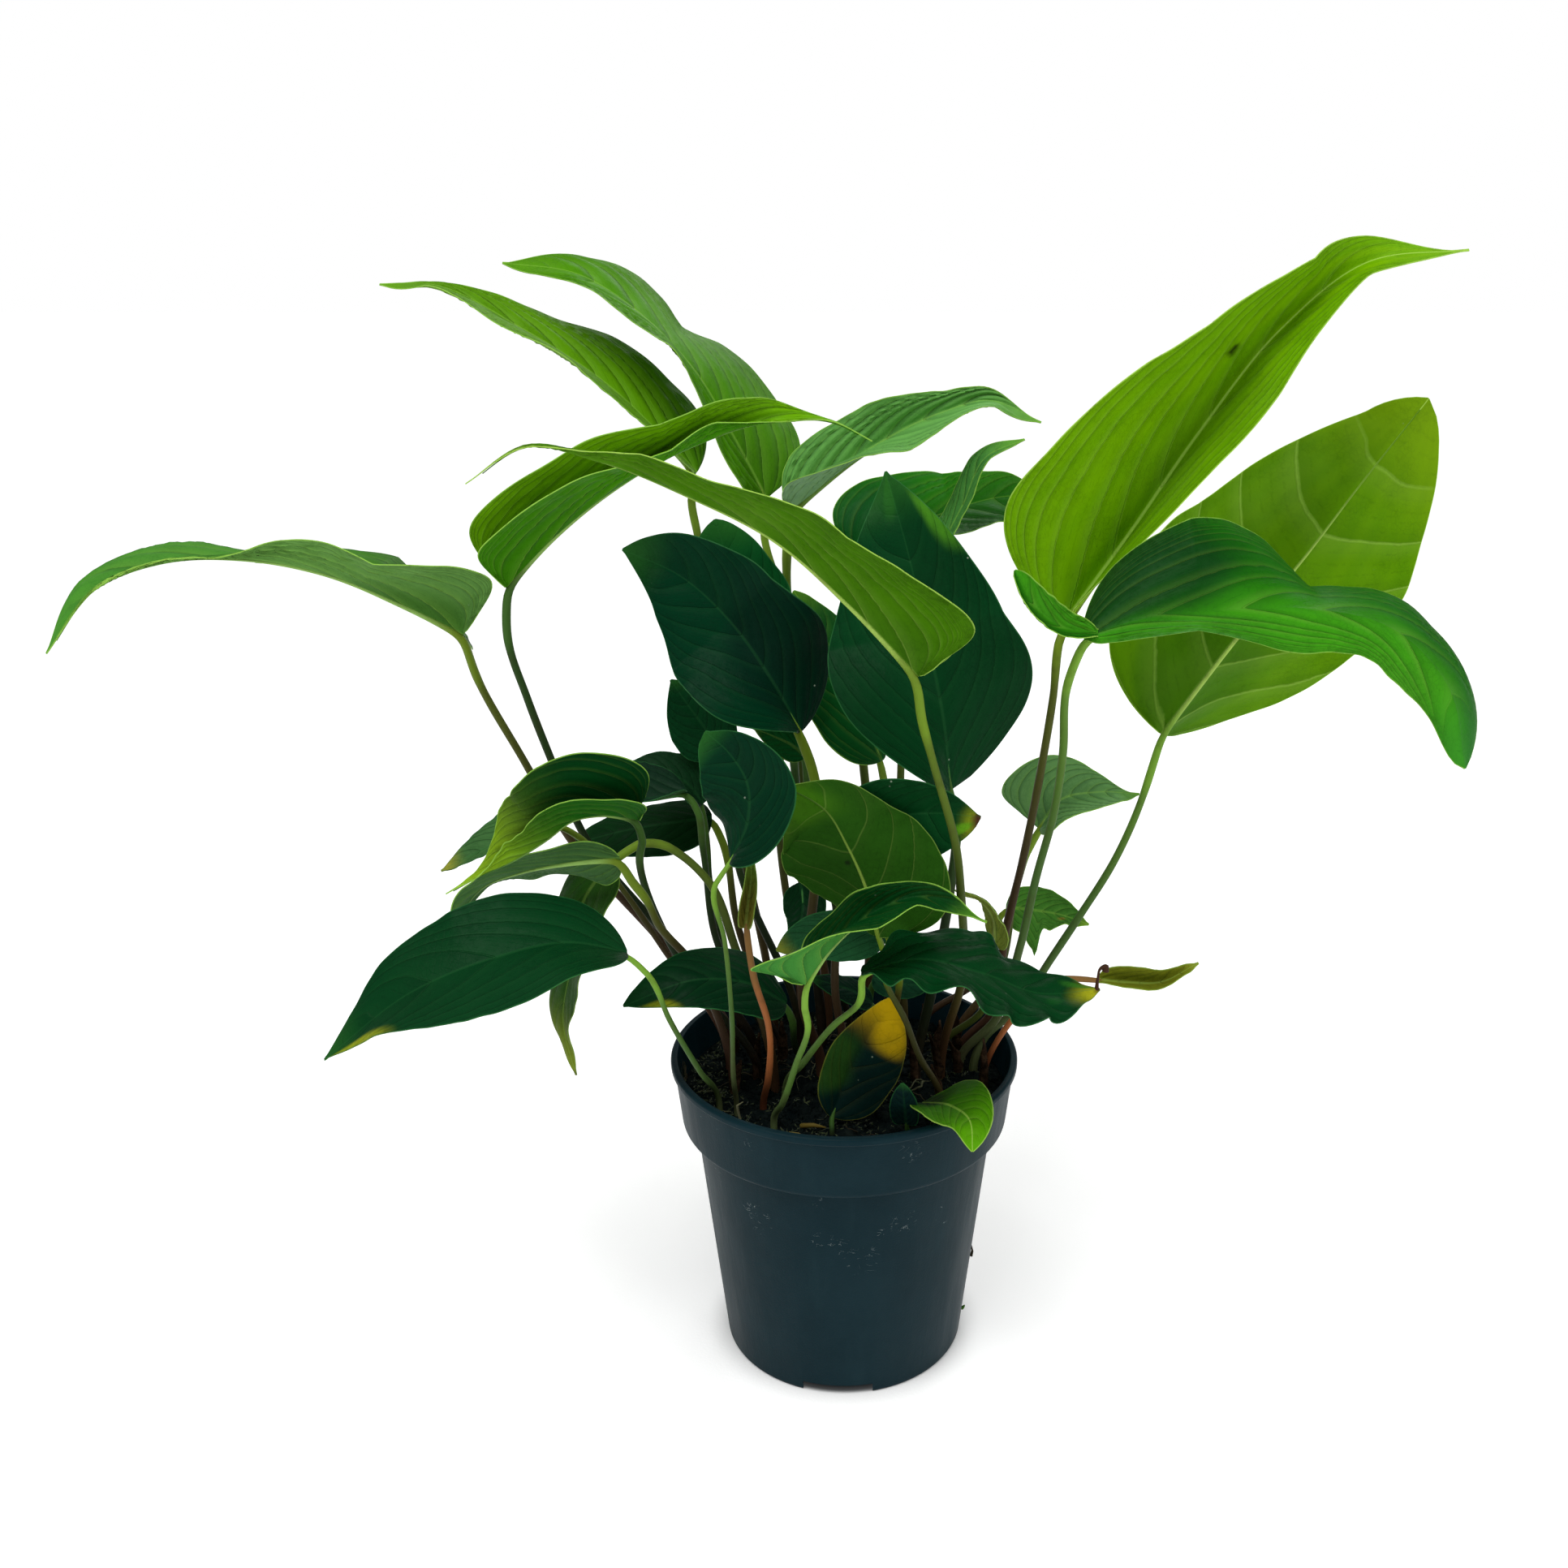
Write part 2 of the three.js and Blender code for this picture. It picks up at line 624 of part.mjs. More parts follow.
growLeaf("back_right", "green", "big", {
  foot: [9, 45],
  stalk: [[10, 52, 164], [6, 64, 207], [4, 73, 248]],
  rib: [[6, 78, 265], [20, 75, 278], [38, 73, 286], [55, 71, 291], [75, 68, 292]],
  face: [[-0.4, -0.9, 0.2], [-0.4, -0.3, 0.9], [-0.1, -0.7, 0.7]],
  width: [28, 26],
  fold: [7, 10],
  widest: [0.3, 0.4],
  lobe: [0.08, 0.04],
});
growLeaf("back_sickle", "green", "middle", {
  foot: [16, 35],
  stalk: [[19, 36, 160], [20, 36, 200], [20, 36, 244]],
  rib: [[21, 34, 256], [30, 36, 274], [40, 38, 293], [47, 39, 308], [60, 40, 314]],
  face: [[-0.7, -0.6, 0.4], [-0.8, -0.5, 0.5], [-0.3, -0.6, 0.7]],
  width: [7, 7],
  fold: [10, 21],
  widest: [0.42, 0.36],
});
growLeaf("small_right", "green", "middle", {
  foot: [41, 24],
  stalk: [[56, 30, 124], [62, 34, 157], [65, 34, 169]],
  rib: [[69, 34, 179], [77, 32, 191], [88, 30, 194], [103, 28, 194]],
  face: [[-0.8, -0.6, 0.3], [-0.3, -0.7, 0.6], [-0.1, -0.8, 0.6]],
  width: [19, 14],
  fold: [26, 36],
  widest: [0.22, 0.35],
  lobe: [0.08, 0.04],
});
growLeaf("brown_tip", "dark", "middle", {
  foot: [2, -6],
  stalk: [[-3, -10, 137], [-1, -14, 174]],
  rib: [[0, -30, 191], [12, -34, 206], [27, -36, 209], [42, -34, 207]],
  face: [[-0.3, -0.9, -0.1], [-0.1, -1, 0.1], [0.1, -1, 0.2]],
  width: [14, 17],
  fold: [15, 8],
  widest: [0.35, 0.45],
});
growLeaf("olive_front", "olive", "big", {
  foot: [33, -22],
  stalk: [[30, -27, 112], [25, -30, 122], [20, -31, 136], [13, -33, 152], [12, -38, 166]],
  rib: [[11, -41, 170], [7, -43, 187], [1, -43, 201], [-5, -41, 211], [-19, -38, 219]],
  face: [[0.6, 0.8, 0.2], [0.1, 1, 0], [0.1, 1, -0.2]],
  width: [25, 25],
  fold: [16, 19],
  widest: [0.3, 0.45],
});
growLeaf("blue_front", "dark", "middle", {
  foot: [-36, -24],
  stalk: [[-36, -33, 116], [-35, -47, 148], [-36, -54, 175], [-38, -58, 194]],
  rib: [[-33, -60, 203], [-28, -60, 214], [-28, -58, 226], [-33, -56, 234], [-40, -54, 240]],
  face: [[-0.9, -0.3, 0.3], [-0.1, -1, 0.2], [0, -0.9, 0.4]],
  width: [14, 17],
  fold: [2, 23],
  curl: [-10, 0],
  widest: [0.5, 0.35],
});
growLeaf("twisted_left", "green", "big", {
  foot: [-30, -1],
  stalk: [[-51, 1, 133], [-65, -2, 166], [-67, -9, 183], [-65, -15, 195]],
  rib: [
    [-66, -17, 201], [-77, -22, 204], [-85, -24, 203], [-94, -27, 197], [-104, -29, 191],
    [-114, -32, 187], [-124, -35, 182],
  ],
  face: [[0.4, -0.5, 0.8], [-0.2, -0.5, 0.8], [-0.5, 0.2, 0.8], [-0.4, 0, 0.9]],
  width: [17, 25],
  fold: [65, 80],
  curl: [0, 7],
  widest: [0.21, 0.24],
  lobe: [0.06, 0.04],
});
growLeaf("cup_left", "dark", "middle", {
  foot: [-25, 6],
  stalk: [[-45, 12, 148], [-48, 11, 179], [-50, 8, 197]],
  rib: [[-53, 11, 201], [-65, 8, 199], [-80, 6, 199], [-93, 4, 201]],
  face: [[-0.2, -0.1, 1], [0.1, -0.3, 0.9], [0.2, -0.4, 0.9]],
  width: [10, 15],
  fold: [29, 28],
  widest: [0.35, 0.45],
});
growLeaf("glossy_striped", "dark", "small", {
  foot: [-22, 14],
  stalk: [[-39, 17, 130], [-47, 22, 164], [-48, 25, 179]],
  rib: [[-49, 26, 191], [-55, 26, 199], [-63, 27, 203], [-77, 29, 204]],
  face: [[0.5, -0.7, 0.5], [0.2, -0.5, 0.8], [0, -0.6, 0.8]],
  width: [9, 9],
  fold: [28, 14],
});
growLeaf("left_behind", "dark", "middle", {
  foot: [-41, 9],
  stalk: [[-63, 8, 145], [-76, 6, 168], [-87, 4, 185]],
  rib: [[-93, -4, 194], [-104, -4, 193], [-117, -6, 187], [-132, -10, 180]],
  face: [[-0.1, -0.6, 0.8], [-0.3, -0.6, 0.8], [-0.2, -0.6, 0.7]],
  width: [10, 9],
  fold: [34, 13],
});
growLeaf("arching_narrow", "green", "big", {
  foot: [-38, -9],
  stalk: [[-52, -6, 146], [-61, -13, 162], [-64, -18, 173], [-69, -22, 183]],
  rib: [[-71, -24, 190], [-88, -23, 188], [-104, -18, 183], [-119, -13, 175], [-131, -12, 158]],
  face: [[0, 0.9, 0.5], [-0.2, 0.4, 0.9], [-0.8, 0.1, 0.6]],
  width: [10, 16],
  fold: [17, -1],
  curl: [0, -10],
  widest: [0.45, 0.3],
  lobe: [0.04, 0.07],
});
growLeaf("big_low_left", "dark", "big", {
  foot: [-42, -22],
  stalk: [[-47, -34, 120], [-55, -43, 143], [-60, -48, 160]],
  rib: [[-66, -50, 169], [-83, -54, 174], [-104, -58, 171], [-128, -62, 162], [-156, -66, 141]],
  face: [[0.3, 0, 1], [-0.1, -0.6, 0.8], [-0.5, -0.5, 0.7]],
  width: [28, 21],
  fold: [18, 7],
  widest: [0.3, 0.37],
});
growLeaf("hanging", "olive", "big", {
  foot: [-24, -7],
  stalk: [[-37, 0, 148], [-46, 4, 171], [-55, 5, 180], [-61, 4, 184], [-68, 2, 185]],
  rib: [[-77, -3, 181], [-86, -7, 169], [-90, -11, 150], [-94, -15, 128], [-90, -19, 110]],
  face: [[-0.3, -0.9, 0.4], [-0.6, -0.7, 0.3], [-0.6, -0.8, 0.1]],
  width: [17, 15],
  fold: [25, -8],
  curl: [5, -20],
  widest: [0.3, 0.36],
});
growLeaf("low_middle", "dark", "middle", {
  foot: [-15, 3],
  stalk: [[-17, -6, 115], [-18, -15, 131]],
  rib: [[-19, -18, 136], [-32, -23, 146], [-47, -27, 149], [-71, -32, 142]],
  face: [[0.7, -0.4, 0.6], [0.2, -0.6, 0.8], [0, -0.8, 0.7]],
  width: [13, 14],
  fold: [10, -7],
  curl: [0, -15],
  widest: [0.35, 0.4],
});
growLeaf("small_front", "green", "big", {
  foot: [-23, -33],
  stalk: [[-20, -40, 111], [-15, -48, 130], [-11, -56, 147], [-12, -60, 157]],
  rib: [[-12, -62, 164], [-4, -62, 176], [7, -62, 186], [21, -62, 192], [42, -62, 184]],
  face: [[-0.8, 0.3, 0.6], [-0.4, -0.6, 0.7], [0.3, -0.5, 0.8]],
  width: [8, 28],
  fold: [54, 44],
  widest: [0.33, 0.22],
  lobe: [0.04, 0.1],
});
growLeaf("wavy_front", "dark", "big", {
  foot: [-20, -16],
  stalk: [[-13, -32, 122], [-3, -43, 141], [4, -50, 151]],
  rib: [[5, -64, 169], [22, -64, 173], [41, -63, 168], [59, -58, 159], [78, -53, 158]],
  face: [[-0.2, -0.1, 1], [0.5, -0.5, 0.8], [0.2, -0.6, 0.8]],
  width: [20, 20],
  fold: [-5, 22],
  curl: [-20, 0],
  widest: [0.34, 0.38],
  wave: 2.2,
});
growLeaf("torn_back", "green", "small", {
  foot: [29, 34],
  stalk: [[52, 38, 121], [56, 44, 138]],
  rib: [[60, 46, 144], [69, 46, 143], [80, 46, 141], [91, 46, 137]],
  face: [[0.1, -0.8, 0.7], [0.1, -0.8, 0.6], [0.2, -0.7, 0.6]],
  width: [9, 10],
  fold: [4, 0],
});
growLeaf("thin_rolled", "olive", "small", {
  foot: [48, -6],
  stalk: [[61, -7, 130], [67, -8, 138], [76, -9, 141]],
  rib: [[85, -10, 141], [95, -10, 140], [106, -10, 140], [118, -12, 148]],
  face: [[0.1, -0.6, 0.8], [-0.1, -0.7, 0.7], [-0.5, -0.6, 0.6]],
  width: [7, 8],
  fold: [65, 53],
});
growLeaf("behind_left", "dark", "middle", {
  foot: [-16, 26],
  stalk: [[-38, 24, 174], [-40, 27, 200]],
  rib: [[-42, 26, 209], [-47, 27, 217], [-54, 28, 227], [-59, 28, 235]],
  face: [[-0.1, -1, 0.1], [0, -1, 0.1], [0, -1, 0]],
  width: [12, 11],
  fold: [10, 3],
  widest: [0.35, 0.4],
});
growLeaf("green_behind", "green", "middle", {
  foot: [22, 24],
  stalk: [[17, 28, 169], [14, 28, 198]],
  rib: [[13, 25, 207], [3, 27, 231], [-7, 29, 250], [-17, 31, 265]],
  face: [[0.6, -0.7, 0.4], [0.2, -0.9, 0.3], [0.1, -0.9, 0.3]],
  width: [18, 15],
  fold: [2, -20],
  curl: [0, -20],
  widest: [0.4, 0.4],
});
growLeaf("pale_rolled", "olive", "small", {
  foot: [33, 12],
  stalk: [[49, 6, 123], [51, 4, 141]],
  rib: [[52, 4, 147], [52, 2, 156], [47, 0, 165], [37, -2, 170]],
  face: [[0.8, 0.5, 0.1], [0.8, 0.4, 0.6], [0.2, 0.7, 0.7]],
  width: [8, 8],
  fold: [3, 11],
  curl: [-25, -15],
});
growLeaf("yellow_edge", "dark", "middle", {
  foot: [13, -5],
  stalk: [[17, -10, 128], [17, -22, 153]],
  rib: [[14, -22, 162], [3, -22, 164], [-9, -22, 163], [-22, -22, 157]],
  face: [[0, -1, 0.2], [0, -1, 0.1], [-0.1, -0.9, 0.3]],
  width: [10, 9],
  fold: [13, 25],
  widest: [0.4, 0.4],
});
growLeaf("hanging_middle", "dark", "small", {
  foot: [3, 25],
  stalk: [[-3, 25, 127], [-6, 17, 164], [-11, 13, 170]],
  rib: [[-15, 10, 168], [-14, 8, 162], [-15, 4, 156], [-19, 0, 151]],
  face: [[0, -0.9, 0.3], [0, -0.7, 0.7], [0.2, -0.5, 0.8]],
  width: [8, 7],
  fold: [4, 2],
});
growLeaf("olive_small", "olive", "small", {
  foot: [-1, 18],
  stalk: [[-11, 20, 172], [-13, 24, 202]],
  rib: [[-13, 23, 209], [-18, 24, 213], [-24, 24, 216], [-31, 24, 219]],
  face: [[0.4, -0.8, 0.4], [0.3, -0.8, 0.5], [0.2, -0.8, 0.5]],
  width: [6, 5],
  fold: [1, -1],
});
growLeaf("dark_low_left", "dark", "middle", {
  foot: [-26, 22],
  stalk: [[-39, 30, 147], [-43, 34, 173]],
  rib: [[-47, 35, 183], [-61, 35, 181], [-78, 35, 178], [-99, 35, 172]],
  face: [[0, -0.8, 0.6], [-0.1, -0.7, 0.8], [-0.1, -0.8, 0.5]],
  width: [13, 12],
  fold: [4, -13],
  curl: [0, -20],
  widest: [0.35, 0.4],
});
growLeaf("low_pot_left", "dark", "small", {
  foot: [12, 4],
  stalk: [[13, 6, 118]],
  rib: [[10, 3, 126], [3, 2, 131], [-4, 1, 134], [-12, 0, 137]],
  face: [[0.5, -0.5, 0.7], [0.4, -0.5, 0.8], [0.4, -0.7, 0.6]],
  width: [6, 6],
  fold: [2, -12],
});
growLeaf("low_pot_right", "dark", "small", {
  foot: [8, 14],
  stalk: [[9, 14, 122]],
  rib: [[10, 13, 131], [17, 11, 130], [26, 9, 130], [33, 7, 133]],
  face: [[-0.1, -0.6, 0.8], [-0.2, -0.6, 0.8], [-0.4, -0.6, 0.7]],
  width: [6, 6],
  fold: [-7, 1],
});
growLeaf("yellow_in_pot", "yellow", "middle", {
  foot: [-4, -38],
  stalk: [],
  rib: [[-4, -36, 104], [2, -28, 116], [9, -22, 127], [15, -20, 139]],
  face: [[0.3, -0.8, 0.4], [0.1, -0.9, 0.4], [0, -1, 0.2]],
  width: [11, 15],
  fold: [22, 8],
  widest: [0.4, 0.45],
});
growLeaf("over_rim", "lime", "small", {
  foot: [22, -31],
  stalk: [],
  rib: [[25, -37, 110], [34, -50, 116], [39, -62, 117], [39, -70, 112]],
  face: [[-0.2, 0.4, 0.9], [-0.5, 0.1, 0.9], [-0.1, -0.7, 0.7]],
  width: [12, 10],
  fold: [11, 15],
  widest: [0.4, 0.4],
});
growLeaf("young", "olive", "small", {
  foot: [-27, -24],
  stalk: [[-25, -30, 114], [-24, -42, 141], [-28, -47, 160]],
  rib: [[-30, -48, 176], [-29, -48, 185], [-28, -48, 192], [-28, -48, 200]],
  face: [[-0.1, -1, 0], [0, -1, 0], [0, -1, 0]],
  width: [5, 5],
  fold: [66, 64],
});

makePot();
makeSoil();

export default plant;
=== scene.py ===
import functools
import math

import bpy
import numpy as np
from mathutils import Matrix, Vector, noise


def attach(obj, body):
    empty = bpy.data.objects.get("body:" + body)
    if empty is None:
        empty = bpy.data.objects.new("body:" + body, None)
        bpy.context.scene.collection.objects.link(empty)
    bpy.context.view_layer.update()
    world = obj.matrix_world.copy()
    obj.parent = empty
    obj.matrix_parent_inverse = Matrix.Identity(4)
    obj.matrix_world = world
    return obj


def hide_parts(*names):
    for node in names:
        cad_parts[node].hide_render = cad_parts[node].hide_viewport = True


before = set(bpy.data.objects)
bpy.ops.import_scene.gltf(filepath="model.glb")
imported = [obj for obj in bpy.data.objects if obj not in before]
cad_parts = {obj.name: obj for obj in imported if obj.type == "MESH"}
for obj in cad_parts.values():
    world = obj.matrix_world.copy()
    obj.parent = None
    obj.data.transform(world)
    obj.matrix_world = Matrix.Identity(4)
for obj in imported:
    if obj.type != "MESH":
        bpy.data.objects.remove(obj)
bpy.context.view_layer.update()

mm = 0.001


def shade(text):  # "#rrggbb" to the linear colour that nodes and attributes hold
    tone = np.array([int(text[i : i + 2], 16) for i in (1, 3, 5)]) / 255
    return np.append(np.where(tone < 0.04045, tone / 12.92, ((tone + 0.055) / 1.055) ** 2.4), 1.0)


def smoothStep(low, high, x):
    t = np.clip((np.asarray(x, float) - low) / (high - low), 0, 1)
    return t * t * (3 - 2 * t)


def unit(vectors):
    return vectors / np.linalg.norm(vectors, axis=-1, keepdims=True)


def tied(tree):  # short ways to add nodes to one material or Geometry Nodes tree
    def add(kind, inputs=None, **settings):
        node = tree.nodes.new(kind)
        for key, value in settings.items():
            setattr(node, key, value)
        for key, value in (inputs or {}).items():
            if isinstance(value, bpy.types.NodeSocket):
                tree.links.new(value, node.inputs[key])
            else:
                node.inputs[key].default_value = value
        return node

    def calc(operation, *values):
        return add("ShaderNodeMath", dict(enumerate(values)), operation=operation).outputs[0]

    def times(*values):
        return functools.reduce(lambda a, b: calc("MULTIPLY", a, b), values)

    def ramp(value, low, high, start=0.0, end=1.0):  # a smooth step from start to end
        values = {0: value, 1: low, 2: high, 3: start, 4: end}
        return add("ShaderNodeMapRange", values, interpolation_type="SMOOTHSTEP").outputs[0]

    def mixed(amount, first, second, blend="MIX"):
        values = {0: amount, 6: first, 7: second}
        return add("ShaderNodeMix", values, data_type="RGBA", blend_type=blend).outputs[2]

    def grain(where, scale, detail=2.0, rough=0.5, twist=0.0):
        values = {"Vector": where, "Scale": scale, "Detail": detail, "Roughness": rough}
        return add("ShaderNodeTexNoise", {**values, "Distortion": twist}).outputs[0]

    def read(name, colour=False):  # a value that the mesh holds at each point
        return add("ShaderNodeAttribute", attribute_name=name).outputs["Color" if colour else "Fac"]

    return add, calc, times, ramp, mixed, grain, read


def newMaterial(name, specular=0.5, sheen=0.0):
    material = bpy.data.materials.new(name)
    material.use_nodes = True
    skin = material.node_tree.nodes["Principled BSDF"]
    skin.inputs["Specular IOR Level"].default_value = specular
    skin.inputs["Sheen Weight"].default_value = sheen
    return material, material.node_tree, skin


def wireSkin(tree, skin, colour, roughness, height, depth=mm):
    tree.links.new(colour, skin.inputs["Base Color"])
    tree.links.new(roughness, skin.inputs["Roughness"])
    bump = tied(tree)[0]("ShaderNodeBump", {"Height": height, "Distance": depth, "Strength": 1.0})
    tree.links.new(bump.outputs[0], skin.inputs["Normal"])


def newTree(name, sizes):  # a Geometry Nodes tree with a geometry in, a geometry out and named inputs
    tree = bpy.data.node_groups.new(name, "GeometryNodeTree")
    for way in ("INPUT", "OUTPUT"):
        tree.interface.new_socket("Geometry", in_out=way, socket_type="NodeSocketGeometry")
    for label, kind in sizes.items():
        tree.interface.new_socket(label, in_out="INPUT", socket_type="NodeSocket" + kind)
    return tree, tree.nodes.new("NodeGroupInput").outputs, tree.nodes.new("NodeGroupOutput").inputs


def endTree(tree, geometry, out, **wanted):  # every tree ends in real faces with their material
    add = tied(tree)[0]
    whole = add("GeometryNodeRealizeInstances", {"Geometry": geometry}).outputs[0]
    skinned = add("GeometryNodeSetMaterial", {"Geometry": whole, **wanted})
    tree.links.new(skinned.outputs[0], out["Geometry"])


def grow(name, mesh, tree, values):  # runs a tree on a mesh once, and keeps the result as a plain mesh
    seed = bpy.data.objects.new(name + "Seed", mesh)
    bpy.context.scene.collection.objects.link(seed)
    modifier = seed.modifiers.new(tree.name, "NODES")
    modifier.node_group = tree
    for item in tree.interface.items_tree:
        if item.in_out == "INPUT" and item.name in values:
            modifier[item.identifier] = values[item.name]
    evaluated = seed.evaluated_get(bpy.context.evaluated_depsgraph_get())
    grown = bpy.data.meshes.new_from_object(evaluated)
    grown.name = name
    seed.modifiers.clear()
    bpy.data.objects.remove(seed)
    bpy.data.meshes.remove(mesh)
    return grown


def place(name, mesh, slot, replaced=None):
    piece = bpy.data.objects.new(name, mesh)
    bpy.context.scene.collection.objects.link(piece)
    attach(piece, "root")
    if replaced:
        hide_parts(replaced)


def plainMesh(name, points, edges, faces):  # points in mm
    mesh = bpy.data.meshes.new(name)
    mesh.from_pydata((np.asarray(points) * mm).tolist(), edges, faces)
    return mesh


def setValues(mesh, name, values, kind="FLOAT"):
    layer = mesh.attributes.new(name, kind, "POINT")
    field = "color" if kind == "FLOAT_COLOR" else "value"
    layer.data.foreach_set(field, np.asarray(values, np.float32).ravel())


# Camera, light and floor
view = dict(eye=(0, -0.472, 0.3588), pitch=17.86, lens=34.66, sensor=36, shift=-0.0383, nearest=0.02)
light = dict(sky=0.34, backdrop=1.0, lampSize=0.8)
lamps = dict(  # place, aim and power of each soft lamp
    keyLight=((-0.35, -0.55, 1.35), (0, 0, 0.2), 13.0),
    fillLight=((0.9, -0.7, 0.8), (0, 0, 0.2), 4.0),
    rimLight=((0.3, 1.0, 1.1), (0, 0, 0.25), 5.0))
floorLook = dict(
    reach=40, grain=900.0, relief=0.05 * mm,
    paintedShadowFrom=0.040, paintedShadowTo=0.0425, shadow=0.052,  # metres from the axis: painted shadow, the paper dark under the pot and its glow dimmed beside it
    glowFrom=0.3, glowTo=2.4, glowNear=0.34, glowFar=0.72)

camera = bpy.data.objects.new("camera", bpy.data.cameras.new("camera"))
camera.location = view["eye"]
camera.rotation_euler = (math.radians(90 - view["pitch"]), 0, 0)
camera.data.lens = view["lens"]
camera.data.sensor_width = view["sensor"]
camera.data.shift_x = view["shift"]
camera.data.clip_start = view["nearest"]
bpy.context.scene.collection.objects.link(camera)
bpy.context.scene.camera = camera

for name, (where, aim, power) in lamps.items():
    lamp = bpy.data.lights.new(name, "AREA")
    lamp.energy = power
    lamp.size = light["lampSize"]
    holder = bpy.data.objects.new(name, lamp)
    holder.location = where
    holder.rotation_euler = (Vector(aim) - Vector(where)).to_track_quat("-Z", "Y").to_euler()
    bpy.context.scene.collection.objects.link(holder)

world = bpy.data.worlds.new("studio")
world.use_nodes = True
backdrop = world.node_tree.nodes["Background"]
add, _, _, ramp, *_ = tied(world.node_tree)
seen = add("ShaderNodeLightPath").outputs["Is Camera Ray"]
backdrop.inputs["Color"].default_value = (1, 1, 1, 1)
strength = ramp(seen, 0.0, 1.0, light["sky"], light["backdrop"])
world.node_tree.links.new(strength, backdrop.inputs["Strength"])
bpy.context.scene.world = world
bpy.context.scene.view_settings.view_transform = "Standard"


def whitePaper():  # painted light: the floor glows though it is no lamp, more further off; painted shadow under and beside the pot
    look = floorLook
    material, tree, skin = newMaterial("whitePaper", specular=0.2)
    add, _, times, ramp, mixed, grain, _ = tied(tree)
    where = add("ShaderNodeTexCoord").outputs["Object"]
    fibres = grain(where, look["grain"])
    away = add("ShaderNodeVectorMath", {0: where}, operation="LENGTH").outputs["Value"]
    tone = mixed(fibres, (0.93, 0.93, 0.93, 1), (0.96, 0.96, 0.96, 1))
    # painted shadow: the paper turns nearly black under the pot
    tone = mixed(ramp(away, look["paintedShadowFrom"], look["paintedShadowTo"]), (0.02, 0.03, 0.035, 1), tone)
    wireSkin(tree, skin, tone, ramp(fibres, 0, 1, 0.8, 0.95), fibres, look["relief"])
    # painted light: the floor's glow, brighter further from the pot
    glow = ramp(away, look["glowFrom"], look["glowTo"], look["glowNear"], look["glowFar"])
    # painted shadow: the glow fades out beside the pot
    glow = times(glow, ramp(away, 0.7 * look["shadow"], look["shadow"]))
    skin.inputs["Emission Color"].default_value = (1, 1, 1, 1)
    tree.links.new(glow, skin.inputs["Emission Strength"])
    return material


far = floorLook["reach"]
floorCorners = [(-far, -far, 0), (far, -far, 0), (far, far, 0), (-far, far, 0)]
floorMesh = bpy.data.meshes.new("floor")
floorMesh.from_pydata(floorCorners, [], [(0, 1, 2, 3)])
floorMesh.materials.append(whitePaper())
floor = bpy.data.objects.new("floor", floorMesh)
bpy.context.scene.collection.objects.link(floor)
print("camera, light and floor are set")


# Leaf blades and stalks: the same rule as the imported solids, on a much finer grid. Lengths are in mm
blade = dict(
    thickness=0.5, edge=0.28, thinEdge=3,  # thickness in the middle and at the edge, width of the thin edge
    crease=1.6,  # the rib's fold is rounded over this
    roundness=0.55, baseHalfWidth=1.3, tipHalfWidth=0.4, lobeEnd=0.4, relax=0.35, cornerSharp=3,
    taper=1.15, outline=0.012, waves=3, waveShift=1.9, bigWave=1.1, frills=6, frillSway=0.35,
    frillDrift=1.2, crinkle=0.25, veinLean=1.15, basalVeins=0.45, veinDrift=0.12, groove=0.14,
    channel=0.3, channelWide=1.1, noRib=9, burnt="#4a2f1c", dried="#3c2418", sharp=55)
gridSizes = dict(big=(96, 21), middle=(64, 16), small=(44, 12))  # rows, columns on each side of the rib
stalkSizes = dict(
    big=1.8, middle=1.5, small=1.3,  # radius at the soil
    taper=0.2, knee=0.2, kneeLength=22, foot=0.15, footLength=9, buried=92, straight=102, uneven=0.05,
    ribFrom=0.015, ribTo=0.965, ribStart=1.1875, ribEnd=0.14, sides=12, step=2.4, blends=5,
    hookSteps=24, hookRadius=0.75, hookWaist=0.35)
finishes = dict(
    dark=dict(lower="#3a6b35", tip="#2f6a22", ribTone="#3f7a3a", veins=6, lean=0.62, relief=0.16),
    green=dict(lower="#5f9440", tip="#6aa52a", ribTone="#8bb25a", veins=7, lean=0.62, relief=0.24),
    lime=dict(ribTone="#a3c45a", veins=7, lean=0.62),
    olive=dict(
        upper="#2c5a22", lower="#46701f", tip="#5a7a1c", ribTone="#8aa04a", veins=5, lean=0.55,
        relief=0.15),
    yellow=dict(ribTone="#5a7a2a", veins=5, lean=0.55))
stalkTones = dict(  # soil end, middle, knee below the blade
    olive=("#46301f", "#3e4a1c", "#708e28"), brown=("#4a3226", "#3c301e", "#68801f"),
    red=("#4a2818", "#985a32", "#7a5a30"), green=("#4c5234", "#405e2a", "#74a034"),
    dark=("#1c1610", "#1c2a16", "#3c5f24"), rust=("#4a3020", "#3c3c1e", "#66801f"),
    fresh=("#52603a", "#4c6c2e", "#7aa83a"))


def smoothCurve(guides):
    points = np.array(guides, float)
    ways = np.diff(points, axis=0)
    gaps = np.linalg.norm(ways, axis=1)
    knots = np.append(0, np.cumsum(gaps))
    steps = ways / gaps[:, None]
    inner = (steps[:-1] * gaps[1:, None] + steps[1:] * gaps[:-1, None]) / (gaps[:-1] + gaps[1:])[:, None]
    slope = np.vstack([steps[:1], inner, steps[-1:]])

    def at(share):
        way = np.clip(share, 0, 1) * knots[-1]
        i = np.clip(np.searchsorted(knots, way) - 1, 0, len(gaps) - 1)
        u = ((way - knots[i]) / gaps[i])[:, None]
        ends = (2 * u**3 - 3 * u**2 + 1) * points[i] + (3 * u**2 - 2 * u**3) * points[i + 1]
        return ends + ((u**3 - 2 * u**2 + u) * slope[i] + (u**3 - u**2) * slope[i + 1]) * gaps[i][:, None]

    return at, knots[-1]


